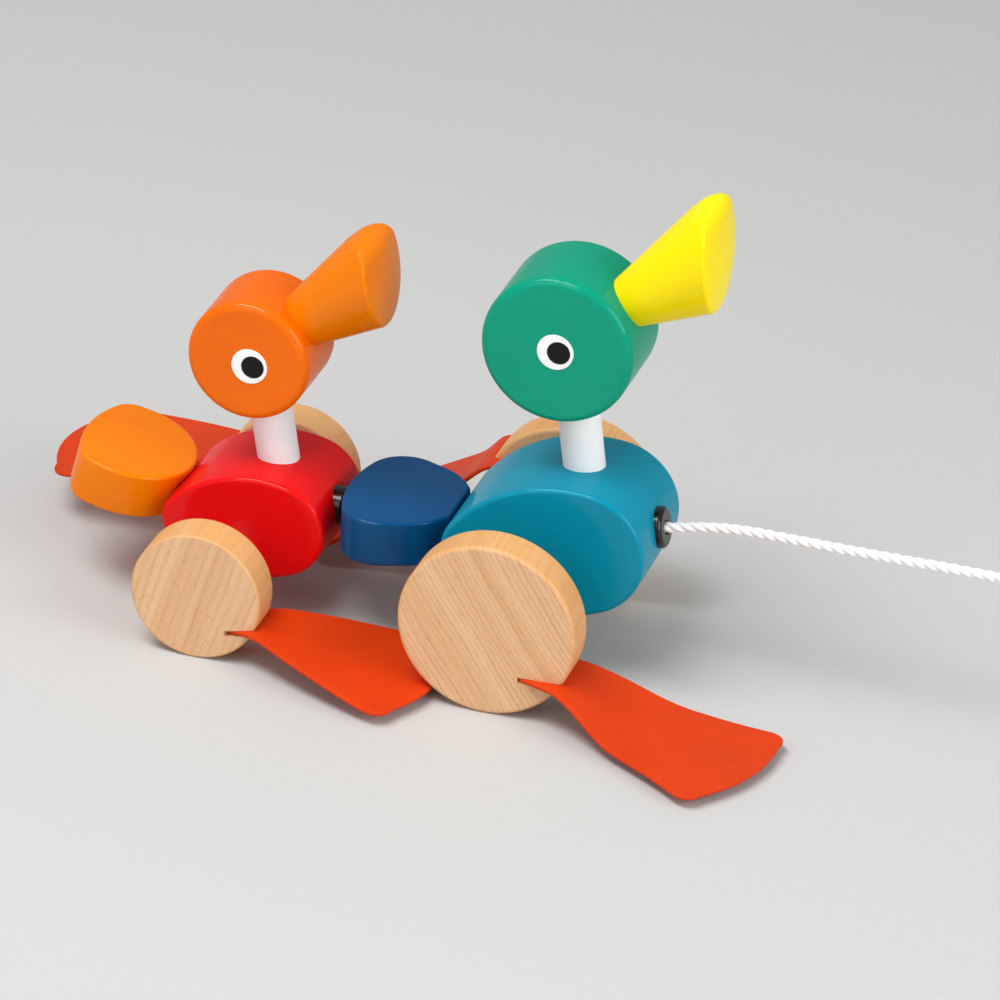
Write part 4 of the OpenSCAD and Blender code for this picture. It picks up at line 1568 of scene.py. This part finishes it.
@dataclass(frozen=True)
class FlipperSizes:
    """Flipper sheet: length, four values that set its half width along it, bow and corners of its end."""

    length: float
    root_half: float
    neck_half: float
    middle_half: float
    end_half: float
    bow: float
    corner: float
    thick: float = 1.2
    eased: float = 0.4

    def half_at(self, s: float) -> float:
        """Half width at a distance from the root, before the end corners are rounded."""
        u = s / self.length
        v = 1 - u
        near = v**3 * self.root_half + 3 * v * v * u * self.neck_half
        return near + 3 * v * u * u * self.middle_half + u**3 * self.end_half

    def edge(self, edge_steps: int = 60, corner_steps: int = 10) -> list[Vector]:
        """Points of one long edge of the flat sheet, from the root round the corner to the end.

        Args:
            edge_steps: points along the edge.
            corner_steps: points round the corner.

        Returns:
            The points, with the sheet's length along X.
        """
        straight = self.length - self.corner
        spots = [(straight * i / edge_steps, 0.0) for i in range(edge_steps)]
        for i in range(corner_steps + 1):
            a = math.pi / 2 * i / corner_steps
            spots.append((straight + self.corner * math.sin(a), self.corner * (1 - math.cos(a))))
        return [
            Vector((s - self.bow * ease(s / self.length), self.half_at(s) - inward, 0))
            for s, inward in spots
        ]

    def flat_sheet(self, end_steps: int = 24, row: float = 1.0) -> bmesh.types.BMesh:
        """Draws the flat sheet, gives it thickness, eases its edges and scores it across for bending.

        Args:
            end_steps: points along the bowed end.
            row: distance between the scores.

        Returns:
            The flat sheet with its root at the origin and its length along X.
        """
        one = self.edge()
        half = one[-1].y
        steps = range(1, end_steps)
        end = [(half * (1 - 2 * i / end_steps), (1 - 2 * i / end_steps) ** 2) for i in steps]
        bowed = [Vector((self.length - self.bow * square, y, 0)) for y, square in end]
        other = [Vector((p.x, -p.y, 0)) for p in reversed(one)]
        bm = bmesh.new()
        verts = [bm.verts.new(p) for p in one + bowed + other]
        for a, b in zip(verts, verts[1:] + verts[:1]):
            bm.edges.new((a, b))
        thickened(bm, Z_AXIS, self.thick)
        rounded(bm, rims(bm, Z_AXIS), self.eased, 3)
        x = row
        while x < self.length:
            whole = bm.verts[:] + bm.edges[:] + bm.faces[:]
            bmesh.ops.bisect_plane(bm, geom=whole, dist=0.0001, plane_co=(x, 0, 0), plane_no=X_AXIS)
            x += row
        return bm


@dataclass(frozen=True)
class Bend:
    """How one flipper bends: angles along it, its turn outward and where the bends start and stop."""

    root: float
    middle: float
    end: float
    turn: float
    first_from: float
    first_to: float
    last_from: float
    last_to: float

    def pitch(self, s: float) -> float:
        """Angle above the level at a distance from the root, in radians."""
        first = ease((s - self.first_from) / (self.first_to - self.first_from))
        last = ease((s - self.last_from) / (self.last_to - self.last_from))
        return math.radians(self.root + (self.middle - self.root) * first + (self.end - self.middle) * last)

    def yaw(self, s: float) -> float:
        """Turn outward at a distance from the root, in radians."""
        return math.radians(-self.turn * ease((s - self.first_from) / (self.last_to - self.first_from)))

    def ahead(self, s: float) -> Vector:
        """Direction of the sheet's middle line at a distance from the root."""
        a, t = self.pitch(s), self.yaw(s)
        return Vector((math.cos(a) * math.cos(t), math.cos(a) * math.sin(t), math.sin(a)))

    def across(self, s: float) -> Vector:
        """Direction across the sheet, outward, at a distance from the root."""
        t = self.yaw(s)
        return Vector((-math.sin(t), math.cos(t), 0))

    def line(self, length: float, step: float) -> list[Vector]:
        """Points of the sheet's middle line at even steps from the root, to past its end."""
        points = [Vector((0, 0, 0))]
        for i in range(int(length / step) + 2):
            points.append(points[-1] + self.ahead((i + 0.5) * step) * step)
        return points


@dataclass(frozen=True)
class WheelPair:
    """Two slotted wheels on an axle, with their sleeves and flippers."""

    bench: Bench
    duck: Duck
    axle: Vector
    radius: float
    body_w: float
    slot_in: Vector
    slot_up: float
    turns: dict[Side, float]
    flipper: FlipperSizes
    bends: dict[Side, Bend]
    woods: dict[Side, Beech]
    thick: float = 11.4
    half_track: float = 43.2
    edge: float = 1.2
    slot_gap: float = 0.8
    root_gap: float = 0.3
    sleeve_in: float = 3.02
    sleeve_out: float = 4.6
    sleeve_play: float = 0.35
    sleeve_back: float = 0.1
    sleeve_edge: float = 0.3
    bend_step: float = 0.25

    def middle_y(self) -> float:
        """Distance of a wheel's middle from the toy's middle."""
        return self.half_track - self.thick / 2

    def slot_start(self, side: Side) -> Vector:
        """Inner end of a wheel's slot, from the axle."""
        return Matrix.Rotation(math.radians(-self.turns[side]), 3, "Y") @ self.slot_in

    def build_wheel(self, side: Side) -> None:
        """Draws the slotted outline, thickens it and eases its edges."""
        along = heading(self.slot_up + self.turns[side])
        over = Vector((-along.z, 0, along.x))
        inner = self.slot_start(side)
        lips = []
        for sign in (1, -1):
            foot = inner + over * (sign * self.slot_gap)
            p = foot.dot(along)
            lips.append(foot + along * (-p + math.sqrt(p * p - foot.length_squared + self.radius**2)))
        bm = bmesh.new()
        angles = [math.degrees(math.atan2(lip.z, lip.x)) for lip in lips]
        start = bm.verts.new(lips[0])
        end = drawn_arc(bm, start, Vector((0, 0, 0)), -Y_AXIS, (angles[1] - angles[0]) % 360, 168)
        deep = bm.verts.new(inner - over * self.slot_gap)
        back = bm.verts.new(inner + over * self.slot_gap)
        bm.edges.new((end, deep))
        bm.edges.new((deep, back))
        bm.edges.new((back, start))
        thickened(bm, Y_AXIS, self.thick)
        rounded(bm, [e for e in rims(bm, Y_AXIS) if self.on_rim(e)], self.edge, 5)
        bmesh.ops.translate(bm, verts=bm.verts[:], vec=self.axle + Y_AXIS * (side.value * self.middle_y()))
        node = f"{self.duck.value}_wheel_{side.word}"
        hub = self.bench.place(self.axle)
        wood = replace(self.woods[side], hub=(hub.x, hub.z), radius=self.radius)
        wheel = self.bench.piece(f"{node}_beech", bm, wood, self.duck.running_gear, (node,))
        self.bench.even_shading(wheel)

    def on_rim(self, edge: bmesh.types.BMEdge) -> bool:
        """Tells an edge of the round rim from one of the slot."""
        return all(abs(v.co.xz.length - self.radius) < 0.01 for v in edge.verts) and edge.calc_length() < 1.2

    def build_sleeve(self, side: Side) -> None:
        """Makes the tube that holds a wheel off the body."""
        near = self.body_w / 2 + self.sleeve_play
        far = self.half_track - self.thick - self.sleeve_back
        section = (
            (near, self.sleeve_in),
            (far, self.sleeve_in),
            (far, self.sleeve_out),
            (near, self.sleeve_out),
        )
        bm = turned_ring(section, Y_AXIS, 64)
        rounded(bm, rims(bm, Y_AXIS), self.sleeve_edge, 3)
        if side is Side.RIGHT:
            bmesh.ops.rotate(bm, verts=bm.verts[:], cent=(0, 0, 0), matrix=Matrix.Rotation(math.pi, 3, "Z"))
        bmesh.ops.translate(bm, verts=bm.verts[:], vec=self.axle)
        node = f"{self.duck.value}_sleeve_{side.word}"
        sleeve = self.bench.piece(f"{node}_tube", bm, SLEEVE_WHITE, self.duck.running_gear, (node,))
        self.bench.even_shading(sleeve)

    def build_flipper(self, side: Side) -> None:
        """Bends the flat sheet and sets its root in the wheel's slot.

        Args:
            side: the wheel's side; the slot opens ahead on the right and back on the left.
        """
        f = self.flipper
        bend = self.bends[side]
        step = self.bend_step
        line = bend.line(f.length, step)
        way = -side.value
        slant = math.radians(bend.root)
        gap = Vector((way * math.cos(slant), 0, math.sin(slant))) * self.root_gap
        root = self.axle + self.slot_start(side) + gap + Y_AXIS * (side.value * self.middle_y())
        bm = f.flat_sheet()
        for vert in bm.verts:
            s, w, h = vert.co
            mark = min(int(s / step), len(line) - 2)
            base = line[mark].lerp(line[mark + 1], s / step - mark)
            across = bend.across(s)
            spot = base + across * w + bend.ahead(s).cross(across) * h
            vert.co = root + Vector((spot.x * way, spot.y * side.value, spot.z))
        bmesh.ops.recalc_face_normals(bm, faces=bm.faces[:])
        node = f"{self.duck.value}_flipper_{side.word}"
        sheet = self.bench.piece(f"{node}_rubber", bm, RUBBER, self.duck.running_gear, (node,))
        self.bench.even_shading(sheet)

    def build(self) -> None:
        """Makes both wheels with their sleeves and flippers."""
        for side in Side:
            self.build_wheel(side)
            self.build_sleeve(side)
            self.build_flipper(side)


def dress_nodes(finishes: dict[str, Finish]) -> None:
    """Gives the nodes that stay as they are their finishes.

    Args:
        finishes: finish by node name.
    """
    for name, finish in finishes.items():
        node = frame["nodes"][name]
        node.data.materials.clear()
        node.data.materials.append(finish.material())
        LOG.info("%s: keeps its solid, finish %s", name, finish.title)


def axle_places() -> dict[Duck, Vector]:
    """The two axles' places in the frame, from the joints."""
    spots = {j["name"]: Vector(j["pos_m"]) for j in frame["joints"]}
    return {duck: spots[f"{duck.value}_wheels_turn"] for duck in Duck}


def main() -> None:
    """Builds the camera and cord first, then the ducks, hitch, wheels and studio."""
    logging.basicConfig(level=logging.INFO, format="%(name)s %(message)s")
    places = axle_places()
    lead_at = places[Duck.LEAD]
    bench = Bench(Vector((lead_at.x, lead_at.y, 0)))
    axles = {duck: (at - bench.origin) / MM for duck, at in places.items()}
    sx = axles[Duck.SECOND].x

    studio = Studio(bench)
    studio.set_camera()
    cord = PullCord(bench)
    cord.build()
    cord.build_grommet()

    lead_body = BodySizes(28.8, 18.2, 10.5, 43.0, 35.8, 10.0, Vector((7, 0, 37.45)))
    second_body = BodySizes(23.5, 14.0, 8.3, 35.0, 33.8, 4.6, Vector((sx + 3.8, 0, 27.7)))
    lead_rump = lead_body.arcs()[1]
    second_rump = second_body.arcs()[1]
    rump_x = lead_body.middle.x + lead_rump * math.cos(math.radians(lead_body.tilt)) - lead_body.rump_r
    rump_at = second_body.middle + heading(second_body.tilt) * second_rump
    lead_tail = TailSizes(Vector((rump_x + 2.2, 0, 32.3)), 0.0, 34.2, 19.6, 10.7, 41.2, 10.4, 2.28)
    second_tail = TailSizes(rump_at + Vector((-6.35, 0, 2.05)), 13.4, 32.0, 18.9, 7.8, 35.5, 11.0)
    hitch = Hitch(
        bench,
        pin=Vector((lead_tail.tip.x - lead_tail.length + 6.8, 0, 31)),
        chest_x=second_body.middle.x
        + second_body.arcs()[0] * math.cos(math.radians(second_body.tilt))
        + second_body.chest_r,
    )
    lead = PaintedDuck(
        bench,
        Duck.LEAD,
        axles[Duck.LEAD],
        lead_body,
        HeadSizes(
            Vector((7, 0, 96.1)), 21.1, 27.7, 8.6, 8.5, 53.5, BeakSizes(36.4, 7.6, 14.8, 48.0, 5.2, 3.2, 2.6)
        ),
        lead_tail,
        DuckPaints(TEAL, GREEN, YELLOW, BLUE),
    )
    lead.build(*hitch.tail_cutters())
    second = PaintedDuck(
        bench,
        Duck.SECOND,
        axles[Duck.SECOND],
        second_body,
        HeadSizes(
            Vector((sx + 2.4, 0, 75.8)),
            17.3,
            25.2,
            10.0,
            6.5,
            44.0,
            BeakSizes(38.7, 8.3, 12.3, 36.5, 6.0, 7.7, 6.9),
            Vector((0.9, 0, -0.9)),
        ),
        second_tail,
        DuckPaints(RED, ORANGE, LIGHT_ORANGE, LIGHT_ORANGE),
    )
    rump_gap = 0.06
    past_sides = Y_AXIS * 30
    rump = rod(second_body.rump_r + rump_gap, rump_at - past_sides, rump_at + past_sides, 96)
    second.build(rump)
    hitch.build()

    WheelPair(
        bench,
        Duck.LEAD,
        axles[Duck.LEAD],
        25.0,
        lead_body.width,
        Vector((9.5, 0, -12.95)),
        1.5,
        {Side.RIGHT: 0.0, Side.LEFT: 183.6},
        FlipperSizes(72.8, 5.3, 18.4, 14.2, 24.2, 3.6, 6.7),
        {
            Side.RIGHT: Bend(3, -23.8, -0.5, -20.8, 6.8, 16.7, 25, 43.8),
            Side.LEFT: Bend(-3.6, -46.3, -33, -6.5, 7.7, 16.7, 20, 28.3),
        },
        {
            Side.RIGHT: Beech("bare_wood", "lead_right_beech", 33.0, 1.5, 0.0),
            Side.LEFT: Beech("bare_wood", "lead_left_beech", -52.0, 1.8, 31.0),
        },
    ).build()
    WheelPair(
        bench,
        Duck.SECOND,
        axles[Duck.SECOND],
        18.5,
        second_body.width,
        Vector((8.7, 0, -9.5)),
        12.5,
        {Side.RIGHT: 0.0, Side.LEFT: 189.4},
        FlipperSizes(59.7, 4.2, 15.2, 19.3, 24.4, 5.2, 7.0),
        {
            Side.RIGHT: Bend(14, -11.4, -0.4, -3, 4.4, 14.4, 40.9, 56),
            Side.LEFT: Bend(-23.4, -11.5, 1.3, -6.8, 4, 13, 40, 64),
        },
        {
            Side.RIGHT: Beech("bare_wood", "second_right_beech", -18.0, 2.6, 57.0, 0.3),
            Side.LEFT: Beech("bare_wood", "second_left_beech", 70.0, 2.2, 83.0),
        },
    ).build()
    dress_nodes(
        {
            "lead_axle": STEEL,
            "second_axle": STEEL,
            "hitch_pin": STEEL,
            "lead_tail_dowel": DOWEL_BEECH,
            "second_tail_dowel": DOWEL_BEECH,
        }
    )
    studio.lay_floor()
    studio.light()


if __name__ == "__main__":
    main()
